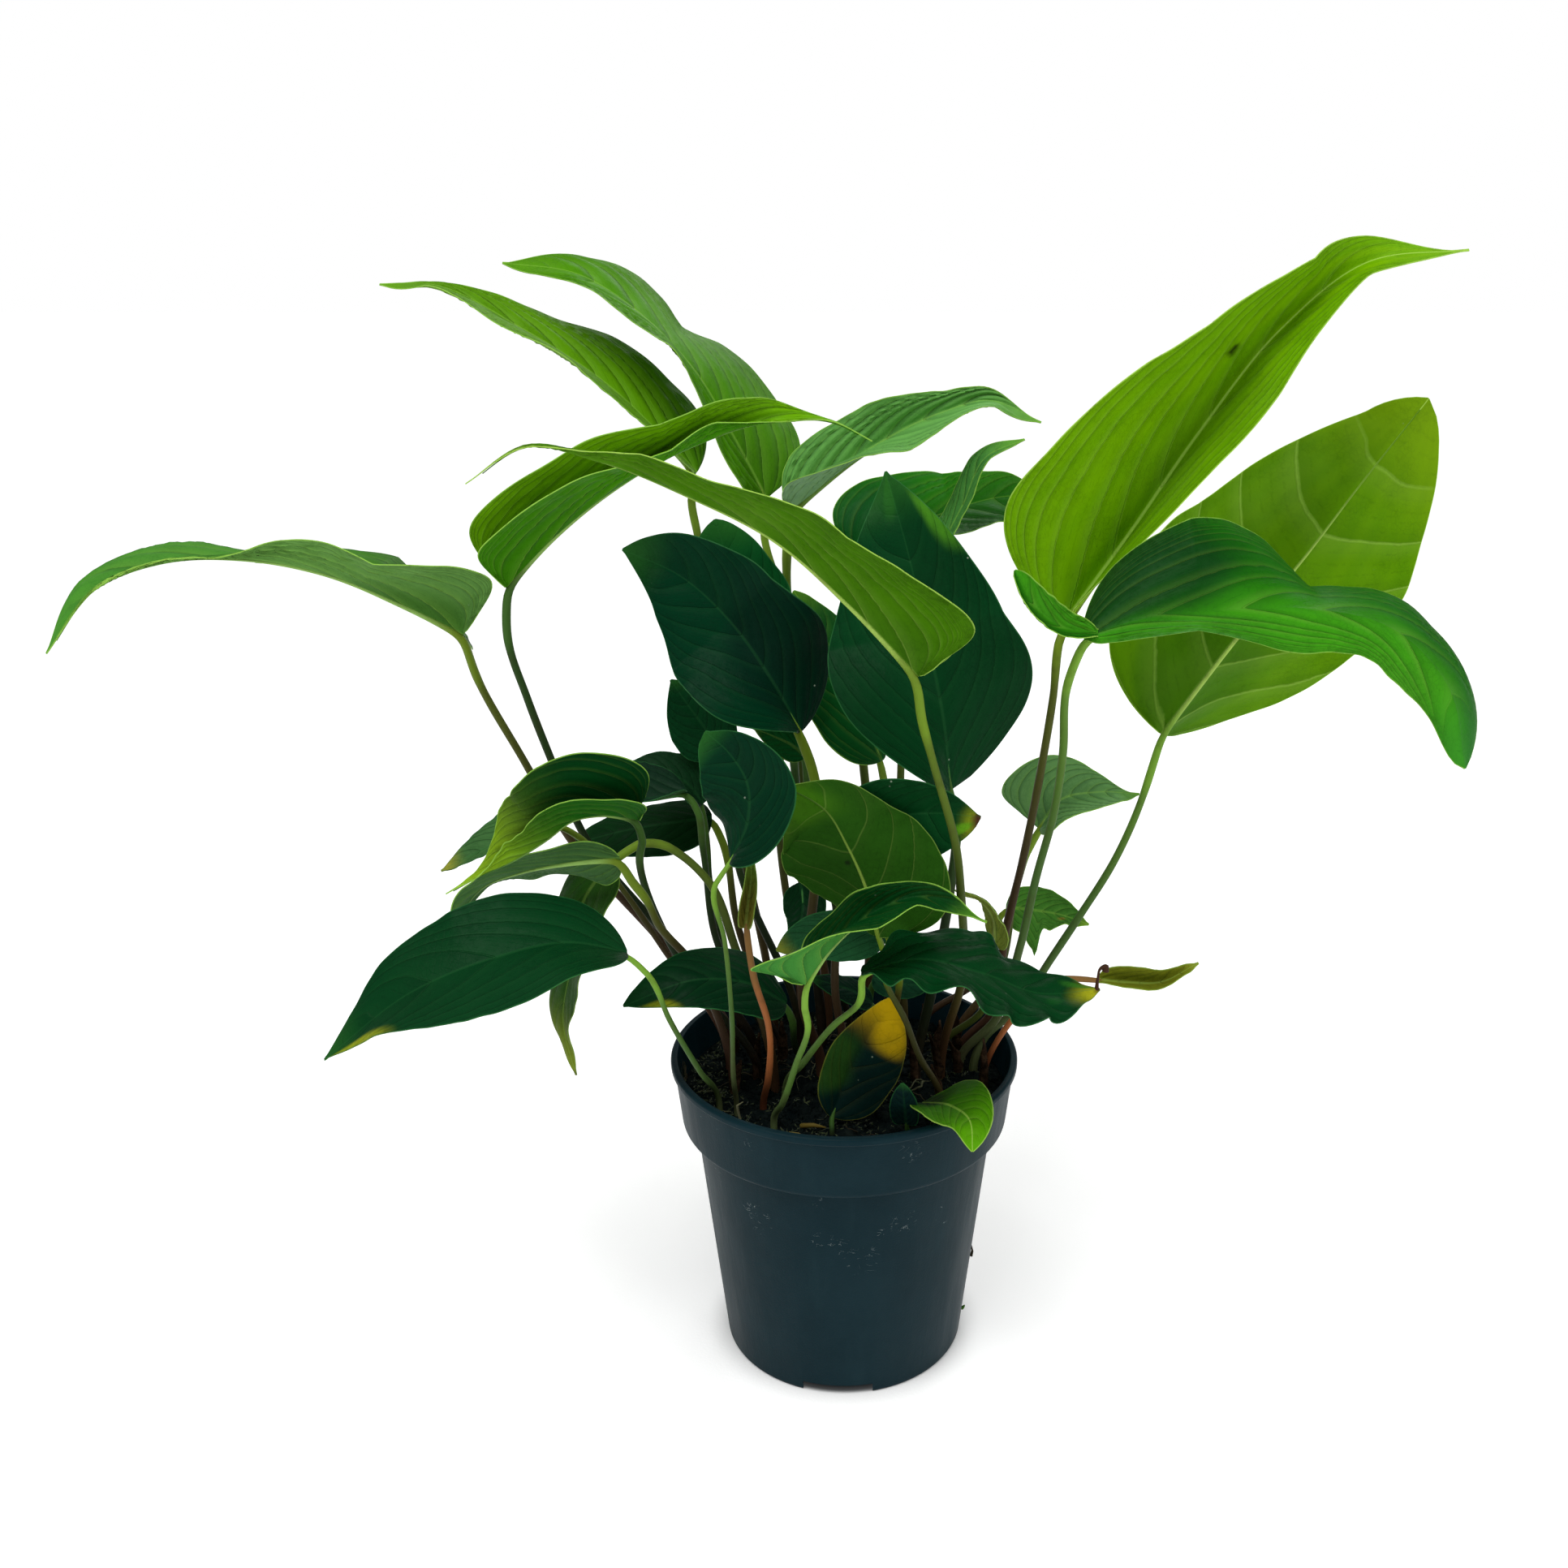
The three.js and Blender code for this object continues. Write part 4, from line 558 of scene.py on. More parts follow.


# Every leaf, in mm. The stalk climbs from its foot through the stalk's points. The blade follows the rib's
# points from base to tip and turns through the ways that it faces. Pairs are for the left and the right of
# the rib: half width, fold and curl in degrees, place of the widest part, reach of the lobe, frill. A patch
# has its place along and across the blade, its size, tone and strength, and a bite its place along the
# blade, its side, extent and depth
# The dark patches at the base of far_left, left_cupped, upper_left_low, upper_left_high, bright_front,
# right_lime, right_domed, back_right and over_rim are painted shade; the other patches are the blade's own
# colour
leafDefaults = dict(
    curl=(0, 0), widest=(.35, .35), lobe=(.04, .04), corner=0, wave=0, frill=(0, 0), ear=None, bites=(),
    hook=None, stem="olive", thick=1, streak=0, ribless=0, otherSide=0, tipFrom=.8, tipMix=.5, burn=0,
    patches=())
earDefaults = dict(corner=0, wave=0, widest=(.5, .5), lobe=(0, 0), patches=(), tipMix=0, veins=3, ribless=1)
leaves = {
    "far_left": dict(
        finish="green", size="big", foot=(-40, 19), stalk=[(-61, 24, 134), (-96, 23, 180),
            (-109, 18, 210), (-121, 12, 240)],
        rib=[(-122, 4, 256), (-139, 1, 266), (-163, -2, 277), (-186, -6, 282), (-208, -12, 282),
            (-227, -18, 275), (-242, -24, 256)],
        face=[(.3, .6, .7), (.4, -.1, .9), (.1, .3, .9), (-.3, -.2, .9), (-.5, -.6, .6)],
        width=(25, 28), fold=(52, 23), curl=(-13, -36), widest=(.12, .38), lobe=(.07, .12), corner=.05,
        upper="#437c2a", lower="#5c8c40", tip="#3f8a24", stem="brown", thick=.85, lean=.75, relief=.55,
        tipFrom=.55, patches=[(0, .5, .4, "#35641a", .85)]),
    "left_cupped": dict(
        finish="green", size="big", foot=(-31, 10), stalk=[(-56, 13, 139), (-89, 14, 184),
            (-98, 11, 212), (-104, 8, 234), (-108, 4, 254)],
        rib=[(-107, 0, 272), (-92, 4, 287), (-72, 9, 302), (-49, 14, 314), (-21, 18, 322),
            (-3, 21, 321), (9, 22, 315)],
        face=[(-.6, -.3, .7), (-.35, -.6, .7), (-.1, -.8, .6), (-.1, -.3, .9), (.5, -.1, .9)],
        width=(23, 22), fold=(80, 65), curl=(17, -3), widest=(.25, .2), lobe=(.02, .04), corner=.05,
        upper="#649e04", lower="#3a8002", stem="dark", thick=.85, lean=.7, relief=.35,
        patches=[(0, .5, .35, "#2a5c0c", .2)]),
    "upper_left_low": dict(
        finish="green", size="big", foot=(-26, 34), stalk=[(-39, 40, 183), (-46, 56, 239),
            (-52, 66, 278), (-54, 68, 292)],
        rib=[(-52, 70, 300), (-84, 66, 332), (-110, 64, 349), (-139, 62, 363), (-156, 62, 363)],
        face=[(.7, -.5, .6), (.5, -.5, .7), (0, -.6, .8)], width=(29, 28), fold=(32, 7), curl=(5, -15),
        widest=(.35, .22),
        upper="#588f08", lower="#689622", tip="#5c9420", thick=.85, veins=8, relief=.5,
        patches=[(.04, .4, .2, "#1f5c14", .35)]),
    "upper_left_high": dict(
        finish="green", size="big", foot=(-16, 42), stalk=[(-24, 50, 180), (-22, 62, 223),
            (-24, 74, 259), (-29, 78, 276)],
        rib=[(-28, 78, 290), (-39, 78, 311), (-52, 76, 334), (-71, 74, 354), (-90, 72, 366),
            (-116, 70, 370)],
        face=[(.6, -.8, .3), (.7, -.3, .7), (.1, -.7, .7)], width=(16, 43), fold=(17, -3),
        curl=(0, -15), widest=(.4, .3), lobe=(.08, .04),
        upper="#427e02", lower="#588c0c", tip="#5a901a", thick=.85, veins=8, relief=.45,
        patches=[(0, 0, .3, "#3a6c08", .6)]),
    "top_middle": dict(
        finish="green", size="big", foot=(-6, 38), stalk=[(-15, 48, 181), (-19, 58, 239),
            (-20, 56, 274)],
        rib=[(-19, 52, 289), (6, 52, 308), (33, 50, 322), (48, 48, 326), (66, 46, 319)],
        face=[(-.6, -.2, .8), (-.3, -.8, .5), (.2, -.7, .7)], width=(15, 28), fold=(55, 44),
        widest=(.27, .33),
        upper="#64a04c", lower="#84b07c", relief=.5),
    "bright_front": dict(
        finish="lime", size="big", foot=(34, 2), stalk=[(39, -18, 146), (36, -39, 184),
            (34, -44, 200), (26, -43, 229), (23, -40, 240)],
        rib=[(22, -40, 253), (2, -44, 275), (-20, -49, 295), (-42, -54, 307), (-66, -57, 317),
            (-85, -59, 321), (-102, -60, 311)],
        face=[(.7, .3, .7), (.65, -.3, .7), (.4, -.3, .85), (-.5, .05, .85)], width=(28, 16),
        fold=(61, 78), curl=(-18, 5), widest=(.23, .14), lobe=(.05, .09), corner=.05,
        upper="#3e7004", lower="#407204", tip="#5a8c1c", thick=.85, lean=.85, relief=.45,
        patches=[(.02, .3, .3, "#34600a", .6)]),
    "tall_right": dict(
        finish="lime", size="big", foot=(42, 16), stalk=[(52, 14, 116), (56, 11, 149), (61, 6, 181),
            (65, 1, 214), (67, -3, 237), (68, -6, 257)],
        rib=[(70, -1, 261), (90, 3, 289), (110, 9, 318), (136, 17, 350), (162, 24, 369), (196, 30, 373)],
        face=[(-.6, -.6, .5), (-.1, -.9, .3), (.1, -.9, .5)], width=(47, 27), fold=(62, 51),
        curl=(5, 5), widest=(.24, .29), lobe=(.04, 0),
        upper="#6aa002", lower="#7aaa06", tip="#6aa028", stem="brown", thick=.85, lean=.7, relief=.15,
        streak=.5, patches=[(.52, -.42, .018, "#1a2408", 1)]),
    "right_lime": dict(
        finish="lime", size="big", foot=(46, 6), stalk=[(49, 8, 109), (63, 15, 119), (72, 20, 132),
            (83, 22, 150), (95, 24, 171), (103, 24, 193), (106, 24, 205)],
        rib=[(108, 24, 217), (131, 26, 249), (153, 30, 276), (171, 36, 299), (194, 44, 327)],
        face=[(-.6, .7, .4), (-.2, 1, 0), (-.2, 1, -.1)], width=(45, 44), fold=(12, 47), curl=(-10, 5),
        widest=(.45, .4),
        upper="#407002", lower="#4e7e00", tip="#7c9c10", stem="green", thick=.85, veins=5, lean=.4,
        relief=.3, streak=.3, tipFrom=.7, patches=[(.12, 0, .36, "#2c5c08", .6)]),
    "right_domed": dict(
        finish="green", size="big", foot=(41, 7), stalk=[(53, 6, 118), (60, 2, 147), (64, -3, 175),
            (68, -10, 201), (69, -16, 222), (68, -24, 245)],
        rib=[(71, -33, 263), (86, -35, 269), (109, -37, 272), (134, -39, 273), (158, -41, 268),
            (177, -43, 250), (184, -45, 226)],
        face=[(-.4, -.5, .8), (-.1, -.9, .4), (.1, -.05, 1), (.65, -.35, .65), (.6, -.75, .25)],
        width=(31, 12.5), fold=(11, -48), curl=(-19, -40), widest=(.44, .51), lobe=(.01, 0),
        ear=dict(
            rib=[(75, -34, 264.5), (63, -35, 267), (54.5, -36.5, 274.5), (49.5, -36, 283.5)],
            face=[(.3, -.7, .6), (.4, -.8, .4)], width=(6.5, 6), fold=(20, 25), curl=(35, 35)),
        upper="#166006", lower="#4e980e", tip="#2f7c2a", ribTone="#2f7c2a", stem="green", thick=.85,
        veins=6, lean=.85, relief=.22, streak=.3, ribless=1, other="#3a8e10", otherSide=.9,
        patches=[(.1, -.5, .3, "#063010", .8)]),
    "dark_left": dict(
        finish="dark", size="big", foot=(-8, 2), stalk=[(-14, -3, 128), (-10, -4, 170),
            (-8, -1, 198), (-11, 2, 213)],
        rib=[(-14, 2, 224), (-24, 6, 241), (-37, 10, 259), (-53, 14, 273), (-72, 18, 281)],
        face=[(.8, -.3, .5), (-.3, -1, 0), (-.2, -1, 0)], width=(26, 25), fold=(22, 17),
        widest=(.35, .4), lobe=(.08, 0),
        upper="#02301a", lower="#0c3e1d", stem="brown", veins=7, relief=.17,
        patches=[(.25, .6, .4, "#051f17", .7)]),
    "dark_right": dict(
        finish="dark", size="big", foot=(25, -1), stalk=[(30, -2, 133), (35, -8, 172), (36, -12, 198)],
        rib=[(34, -16, 210), (31, -12, 234), (26, -6, 258), (20, 0, 283), (13, 8, 307)],
        face=[(.9, -.4, .2), (-.3, -.9, .1), (-.3, -.9, .2)], width=(33, 30), fold=(15, 15),
        lobe=(.04, 0),
        upper="#063618", lower="#185424", stem="dark", veins=7, relief=.2,
        patches=[(.8, .95, .13, "#4a8a1c", .75), (.93, -.2, .1, "#2c6a20", .35)]),
    "dark_behind": dict(
        finish="dark", size="big", foot=(-8, 23), stalk=[(-16, 34, 170), (-18, 40, 205)],
        rib=[(-20, 36, 221), (-29, 40, 246), (-38, 43, 268), (-44, 45, 287)],
        face=[(-.1, -1, .1), (-.3, -1, .1), (.1, -1, .1)], width=(21, 19), fold=(7, 12),
        widest=(.45, .45),
        upper="#0b4a1f", stem="dark"),
    "back_right": dict(
        finish="green", size="big", foot=(9, 45), stalk=[(10, 52, 164), (6, 64, 207), (4, 73, 248)],
        rib=[(6, 78, 265), (20, 75, 278), (38, 73, 286), (55, 71, 291), (75, 68, 292)],
        face=[(-.4, -.9, .2), (-.4, -.3, .9), (-.1, -.7, .7)], width=(28, 26), fold=(7, 10),
        widest=(.3, .4), lobe=(.08, .04),
        upper="#1c6604", relief=.4, patches=[(.1, -.3, .35, "#0a4a1c", .9)]),
    "back_sickle": dict(
        finish="green", size="middle", foot=(16, 35), stalk=[(19, 36, 160), (20, 36, 200),
            (20, 36, 244)],
        rib=[(21, 34, 256), (30, 36, 274), (40, 38, 293), (47, 39, 308), (60, 40, 314)],
        face=[(-.7, -.6, .4), (-.8, -.5, .5), (-.3, -.6, .7)], width=(7, 7), fold=(10, 21),
        widest=(.42, .36),
        upper="#48863a", lower="#76a864"),
    "small_right": dict(
        finish="green", size="middle", foot=(41, 24), stalk=[(56, 30, 124), (62, 34, 157),
            (65, 34, 169)],
        rib=[(69, 34, 179), (77, 32, 191), (88, 30, 194), (103, 28, 194)],
        face=[(-.8, -.6, .3), (-.3, -.7, .6), (-.1, -.8, .6)], width=(19, 14), fold=(26, 36),
        widest=(.22, .35), lobe=(.08, .04),
        upper="#649454", lower="#86aa72"),
    "brown_tip": dict(
        finish="dark", size="middle", foot=(2, -6), stalk=[(-3, -10, 137), (-1, -14, 174)],
        rib=[(0, -30, 191), (12, -34, 206), (27, -36, 209), (42, -34, 207)],
        face=[(-.3, -.9, -.1), (-.1, -1, .1), (.1, -1, .2)], width=(14, 17), fold=(15, 8),
        widest=(.35, .45),
        upper="#053816", tip="#8c9a18", stem="brown", tipFrom=.87, tipMix=.9, burn=.95,
        patches=[(.9, .5, .09, "#5c9a18", .8)]),
    "olive_front": dict(
        finish="olive", size="big", foot=(33, -22), stalk=[(30, -27, 112), (25, -30, 122),
            (20, -31, 136), (13, -33, 152), (12, -38, 166)],
        rib=[(11, -41, 170), (7, -43, 187), (1, -43, 201), (-5, -41, 211), (-19, -38, 219)],
        face=[(.6, .8, .2), (.1, 1, 0), (.1, 1, -.2)], width=(25, 25), fold=(16, 19), widest=(.3, .45),
        wave=.4,
        bites=[(.84, 1, .07, -.4)],
        upper="#1c4618", lower="#204a0c", ribTone="#7c9a3c", stem="rust", thick=.62, veins=4, relief=.2,
        patches=[(.95, 0, .3, "#3a6a0c", .7), (.45, .1, .02, "#14200c", .9)]),
    "blue_front": dict(
        finish="dark", size="middle", foot=(-36, -24), stalk=[(-36, -33, 116), (-35, -47, 148),
            (-36, -54, 175), (-38, -58, 194)],
        rib=[(-33, -60, 203), (-28, -60, 214), (-28, -58, 226), (-33, -56, 234), (-40, -54, 240)],
        face=[(-.9, -.3, .3), (-.1, -1, .2), (0, -.9, .4)], width=(14, 17), fold=(2, 23), curl=(-10, 0),
        widest=(.5, .35),
        upper="#052d1a", lower="#184822", stem="green", thick=.58, veins=7),
    "twisted_left": dict(
        finish="green", size="big", foot=(-30, -1), stalk=[(-51, 1, 133), (-65, -2, 166),
            (-67, -9, 183), (-65, -15, 195)],
        rib=[(-66, -17, 201), (-77, -22, 204), (-85, -24, 203), (-94, -27, 197), (-104, -29, 191),
            (-114, -32, 187), (-124, -35, 182)],
        face=[(.4, -.5, .8), (-.2, -.5, .8), (-.5, .2, .8), (-.4, 0, .9)], width=(17, 25),
        fold=(65, 80), curl=(0, 7), widest=(.21, .24), lobe=(.06, .04),
        upper="#053c14", lower="#1c6010", tip="#96bc1c", stem="dark", thick=.8, tipFrom=.28, tipMix=.9),
    "cup_left": dict(
        finish="dark", size="middle", foot=(-25, 6), stalk=[(-45, 12, 148), (-48, 11, 179),
            (-50, 8, 197)],
        rib=[(-53, 11, 201), (-65, 8, 199), (-80, 6, 199), (-93, 4, 201)],
        face=[(-.2, -.1, 1), (.1, -.3, .9), (.2, -.4, .9)], width=(10, 15), fold=(29, 28),
        widest=(.35, .45),
        upper="#143020", lower="#2a4e28", stem="dark", thick=.9),
    "glossy_striped": dict(
        finish="dark", size="small", foot=(-22, 14), stalk=[(-39, 17, 130), (-47, 22, 164),
            (-48, 25, 179)],
        rib=[(-49, 26, 191), (-55, 26, 199), (-63, 27, 203), (-77, 29, 204)],
        face=[(.5, -.7, .5), (.2, -.5, .8), (0, -.6, .8)], width=(9, 9), fold=(28, 14),
        upper="#12361c", lower="#2a562c", stem="dark", thick=.85),
    "left_behind": dict(
        finish="dark", size="middle", foot=(-41, 9), stalk=[(-63, 8, 145), (-76, 6, 168), (-87, 4, 185)],
        rib=[(-93, -4, 194), (-104, -4, 193), (-117, -6, 187), (-132, -10, 180)],
        face=[(-.1, -.6, .8), (-.3, -.6, .8), (-.2, -.6, .7)], width=(10, 9), fold=(34, 13),
        upper="#406c38", lower="#78b464", tip="#a09a30", stem="brown", thick=.8, tipFrom=.75, tipMix=.8),
    "arching_narrow": dict(
        finish="green", size="big", foot=(-38, -9), stalk=[(-52, -6, 146), (-61, -13, 162),
            (-64, -18, 173), (-69, -22, 183)],
        rib=[(-71, -24, 190), (-88, -23, 188), (-104, -18, 183), (-119, -13, 175), (-131, -12, 158)],
        face=[(0, .9, .5), (-.2, .4, .9), (-.8, .1, .6)], width=(10, 16), fold=(17, -1), curl=(0, -10),
        widest=(.45, .3), lobe=(.04, .07),
        upper="#284d26", lower="#385f30", stem="brown", thick=.85),
    "big_low_left": dict(
        finish="dark", size="big", foot=(-42, -22), stalk=[(-47, -34, 120), (-55, -43, 143),
            (-60, -48, 160)],
        rib=[(-66, -50, 169), (-83, -54, 174), (-104, -58, 171), (-128, -62, 162), (-156, -66, 141)],
        face=[(.3, 0, 1), (-.1, -.6, .8), (-.5, -.5, .7)], width=(28, 21), fold=(18, 7),
        widest=(.3, .37),
        upper="#073819", lower="#40702e", tip="#2c6a24", stem="green", thick=.55, veins=5, lean=.75,
        relief=.1, patches=[(.86, -.95, .15, "#9aa41c", .75)]),
    "hanging": dict(
        finish="olive", size="big", foot=(-24, -7), stalk=[(-37, 0, 148), (-46, 4, 171),
            (-55, 5, 180), (-61, 4, 184), (-68, 2, 185)],
        rib=[(-77, -3, 181), (-86, -7, 169), (-90, -11, 150), (-94, -15, 128), (-90, -19, 110)],
        face=[(-.3, -.9, .4), (-.6, -.7, .3), (-.6, -.8, .1)], width=(17, 15), fold=(25, -8),
        curl=(5, -20), widest=(.3, .36),
        upper="#1e4410", lower="#30581a", tip="#8a9a20", thick=.9, veins=6, tipFrom=.6, tipMix=.8,
        burn=.95),
    "low_middle": dict(
        finish="dark", size="middle", foot=(-15, 3), stalk=[(-17, -6, 115), (-18, -15, 131)],
        rib=[(-19, -18, 136), (-32, -23, 146), (-47, -27, 149), (-71, -32, 142)],
        face=[(.7, -.4, .6), (.2, -.6, .8), (0, -.8, .7)], width=(13, 14), fold=(10, -7), curl=(0, -15),
        widest=(.35, .4),
        upper="#032812", lower="#144218", tip="#12401c", stem="dark", thick=.85, tipFrom=.72,
        patches=[(.8, -.9, .13, "#8a9014", .75)]),
    "small_front": dict(
        finish="green", size="big", foot=(-23, -33), stalk=[(-20, -40, 111), (-15, -48, 130),
            (-11, -56, 147), (-12, -60, 157)],
        rib=[(-12, -62, 164), (-4, -62, 176), (7, -62, 186), (21, -62, 192), (42, -62, 184)],
        face=[(-.8, .3, .6), (-.4, -.6, .7), (.3, -.5, .8)], width=(8, 28), fold=(54, 44),
        widest=(.33, .22), lobe=(.04, .1),
        upper="#053e14", lower="#3a7c30", tip="#5f9a24", stem="fresh", thick=.62, relief=.2, ribless=1,
        tipFrom=.78, tipMix=.8),
    "wavy_front": dict(
        finish="dark", size="big", foot=(-20, -16), stalk=[(-13, -32, 122), (-3, -43, 141),
            (4, -50, 151)],
        rib=[(5, -64, 169), (22, -64, 173), (41, -63, 168), (59, -58, 159), (78, -53, 158)],
        face=[(-.2, -.1, 1), (.5, -.5, .8), (.2, -.6, .8)], width=(20, 20), fold=(-5, 22),
        curl=(-20, 0), widest=(.34, .38), wave=2.2, frill=(1.2, 2.4),
        hook=[(77, -53, 157.6), (77.2, -53, 161.5), (78, -53, 165), (79.4, -53, 165.6),
            (79.4, -53, 164)],
        upper="#053616", lower="#1e5220", tip="#a8a81c", stem="fresh", thick=.66, relief=.35,
        tipFrom=.86, tipMix=.9, burn=.985, patches=[(.93, -.5, .1, "#2f6c1c", .7),
            (.8, .3, .05, "#124c1a", .6)]),
    "torn_back": dict(
        finish="green", size="small", foot=(29, 34), stalk=[(52, 38, 121), (56, 44, 138)],
        rib=[(60, 46, 144), (69, 46, 143), (80, 46, 141), (91, 46, 137)],
        face=[(.1, -.8, .7), (.1, -.8, .6), (.2, -.7, .6)], width=(9, 10), fold=(4, 0), frill=(.2, .6),
        bites=[(.34, 1, .06, -.4), (.385, 1, .025, -.5), (.47, 1, .06, .3), (.72, 1, .17, .5)],
        upper="#427a28", lower="#6c9a3a", tip="#7ca024", stem="brown", tipMix=.8,
        patches=[(.66, .35, .06, "#8a7a30", .8)]),
    "thin_rolled": dict(
        finish="olive", size="small", foot=(48, -6), stalk=[(61, -7, 130), (67, -8, 138), (76, -9, 141)],
        rib=[(85, -10, 141), (95, -10, 140), (106, -10, 140), (118, -12, 148)],
        face=[(.1, -.6, .8), (-.1, -.7, .7), (-.5, -.6, .6)], width=(7, 8), fold=(65, 53),
        upper="#747c1c", lower="#868e1e", tip="#8a9a30", stem="red", thick=.85),
    "behind_left": dict(
        finish="dark", size="middle", foot=(-16, 26), stalk=[(-38, 24, 174), (-40, 27, 200)],
        rib=[(-42, 26, 209), (-47, 27, 217), (-54, 28, 227), (-59, 28, 235)],
        face=[(-.1, -1, .1), (0, -1, .1), (0, -1, 0)], width=(12, 11), fold=(10, 3), widest=(.35, .4),
        upper="#0a3e1e", stem="dark"),
    "green_behind": dict(
        finish="green", size="middle", foot=(22, 24), stalk=[(17, 28, 169), (14, 28, 198)],
        rib=[(13, 25, 207), (3, 27, 231), (-7, 29, 250), (-17, 31, 265)],
        face=[(.6, -.7, .4), (.2, -.9, .3), (.1, -.9, .3)], width=(18, 15), fold=(2, -20),
        curl=(0, -20), widest=(.4, .4),
        upper="#084a1a", lower="#226c20"),
    "pale_rolled": dict(
        finish="olive", size="small", foot=(33, 12), stalk=[(49, 6, 123), (51, 4, 141)],
        rib=[(52, 4, 147), (52, 2, 156), (47, 0, 165), (37, -2, 170)],
        face=[(.8, .5, .1), (.8, .4, .6), (.2, .7, .7)], width=(8, 8), fold=(3, 11), curl=(-25, -15),
        upper="#607632", lower="#88983c"),
    "yellow_edge": dict(
        finish="dark", size="middle", foot=(13, -5), stalk=[(17, -10, 128), (17, -22, 153)],
        rib=[(14, -22, 162), (3, -22, 164), (-9, -22, 163), (-22, -22, 157)],
        face=[(0, -1, .2), (0, -1, .1), (-.1, -.9, .3)], width=(10, 9), fold=(13, 25), widest=(.4, .4),
        upper="#1e4e2c", lower="#3c6434", tip="#8a8a24", stem="brown", thick=.9, tipMix=.7),
    "hanging_middle": dict(
        finish="dark", size="small", foot=(3, 25), stalk=[(-3, 25, 127), (-6, 17, 164), (-11, 13, 170)],
        rib=[(-15, 10, 168), (-14, 8, 162), (-15, 4, 156), (-19, 0, 151)],
        face=[(0, -.9, .3), (0, -.7, .7), (.2, -.5, .8)], width=(8, 7), fold=(4, 2),
        upper="#062812", lower="#1a3c1a", stem="dark"),
    "olive_small": dict(
        finish="olive", size="small", foot=(-1, 18), stalk=[(-11, 20, 172), (-13, 24, 202)],
        rib=[(-13, 23, 209), (-18, 24, 213), (-24, 24, 216), (-31, 24, 219)],
        face=[(.4, -.8, .4), (.3, -.8, .5), (.2, -.8, .5)], width=(6, 5), fold=(1, -1),
        upper="#0c4e20", lower="#205c24", stem="dark"),
    "dark_low_left": dict(
        finish="dark", size="middle", foot=(-26, 22), stalk=[(-39, 30, 147), (-43, 34, 173)],
        rib=[(-47, 35, 183), (-61, 35, 181), (-78, 35, 178), (-99, 35, 172)],
        face=[(0, -.8, .6), (-.1, -.7, .8), (-.1, -.8, .5)], width=(13, 12), fold=(4, -13),
        curl=(0, -20), widest=(.35, .4),
        upper="#082d10", lower="#1a4318", stem="brown"),
    "low_pot_left": dict(
        finish="dark", size="small", foot=(12, 4), stalk=[(13, 6, 118)],
        rib=[(10, 3, 126), (3, 2, 131), (-4, 1, 134), (-12, 0, 137)],
        face=[(.5, -.5, .7), (.4, -.5, .8), (.4, -.7, .6)], width=(6, 6), fold=(2, -12),
        upper="#082116", lower="#163422", stem="dark"),
    "low_pot_right": dict(
        finish="dark", size="small", foot=(8, 14), stalk=[(9, 14, 122)],
        rib=[(10, 13, 131), (17, 11, 130), (26, 9, 130), (33, 7, 133)],
        face=[(-.1, -.6, .8), (-.2, -.6, .8), (-.4, -.6, .7)], width=(6, 6), fold=(-7, 1),
        upper="#0f3e26", lower="#235432", stem="dark"),
    "yellow_in_pot": dict(
        finish="yellow", size="middle", foot=(-4, -38), stalk=[],
        rib=[(-4, -36, 104), (2, -28, 116), (9, -22, 127), (15, -20, 139)],
        face=[(.3, -.8, .4), (.1, -.9, .4), (0, -1, .2)], width=(11, 15), fold=(22, 8), widest=(.4, .45),
        upper="#04201c", lower="#143820", tip="#c8a408", stem="dark", thick=.6, relief=.08, ribless=1,
        tipFrom=.55, tipMix=1, patches=[(.4, -.7, .3, "#2c5410", .6), (.75, .5, .2, "#d8b008", .7)]),
    "over_rim": dict(
        finish="lime", size="small", foot=(22, -31), stalk=[],
        rib=[(25, -37, 110), (34, -50, 116), (39, -62, 117), (39, -70, 112)],
        face=[(-.2, .4, .9), (-.5, .1, .9), (-.1, -.7, .7)], width=(12, 10), fold=(11, 15),
        widest=(.4, .4),
        upper="#3a7410", lower="#4c8018", tip="#5aa004", stem="dark", thick=.6, relief=.1, tipFrom=.3,
        tipMix=.9, patches=[(.04, 0, .36, "#0c2016", .95)]),
    "young": dict(
        finish="olive", size="small", foot=(-27, -24), stalk=[(-25, -30, 114), (-24, -42, 141),
            (-28, -47, 160)],
        rib=[(-30, -48, 176), (-29, -48, 185), (-28, -48, 192), (-28, -48, 200)],
        face=[(-.1, -1, 0), (0, -1, 0), (0, -1, 0)], width=(5, 5), fold=(66, 64),
        upper="#625e20", lower="#586a1a", tip="#4f7c24", stem="red", thick=.9, tipFrom=.3, tipMix=.8)}
lowLeaf = dict(  # a small dark leaf at the front of the soil, too low and thin to be a node
    finish="dark", size="small", foot=(20.5, -40.5), stalk=[(20.3, -41.4, 103.5)],
    rib=[(20, -42.4, 105), (19.4, -43.6, 112.5), (18.6, -43.2, 120.5)],
    face=[(-.3, -.9, .3), (-.2, -.8, .6)], width=(5, 4.8), fold=(14, 10), widest=(.42, .42), lobe=(.12, .1),
    upper="#0a2422", lower="#12302a", ribTone="#12302a", stem="dark", thick=.6, relief=.1)


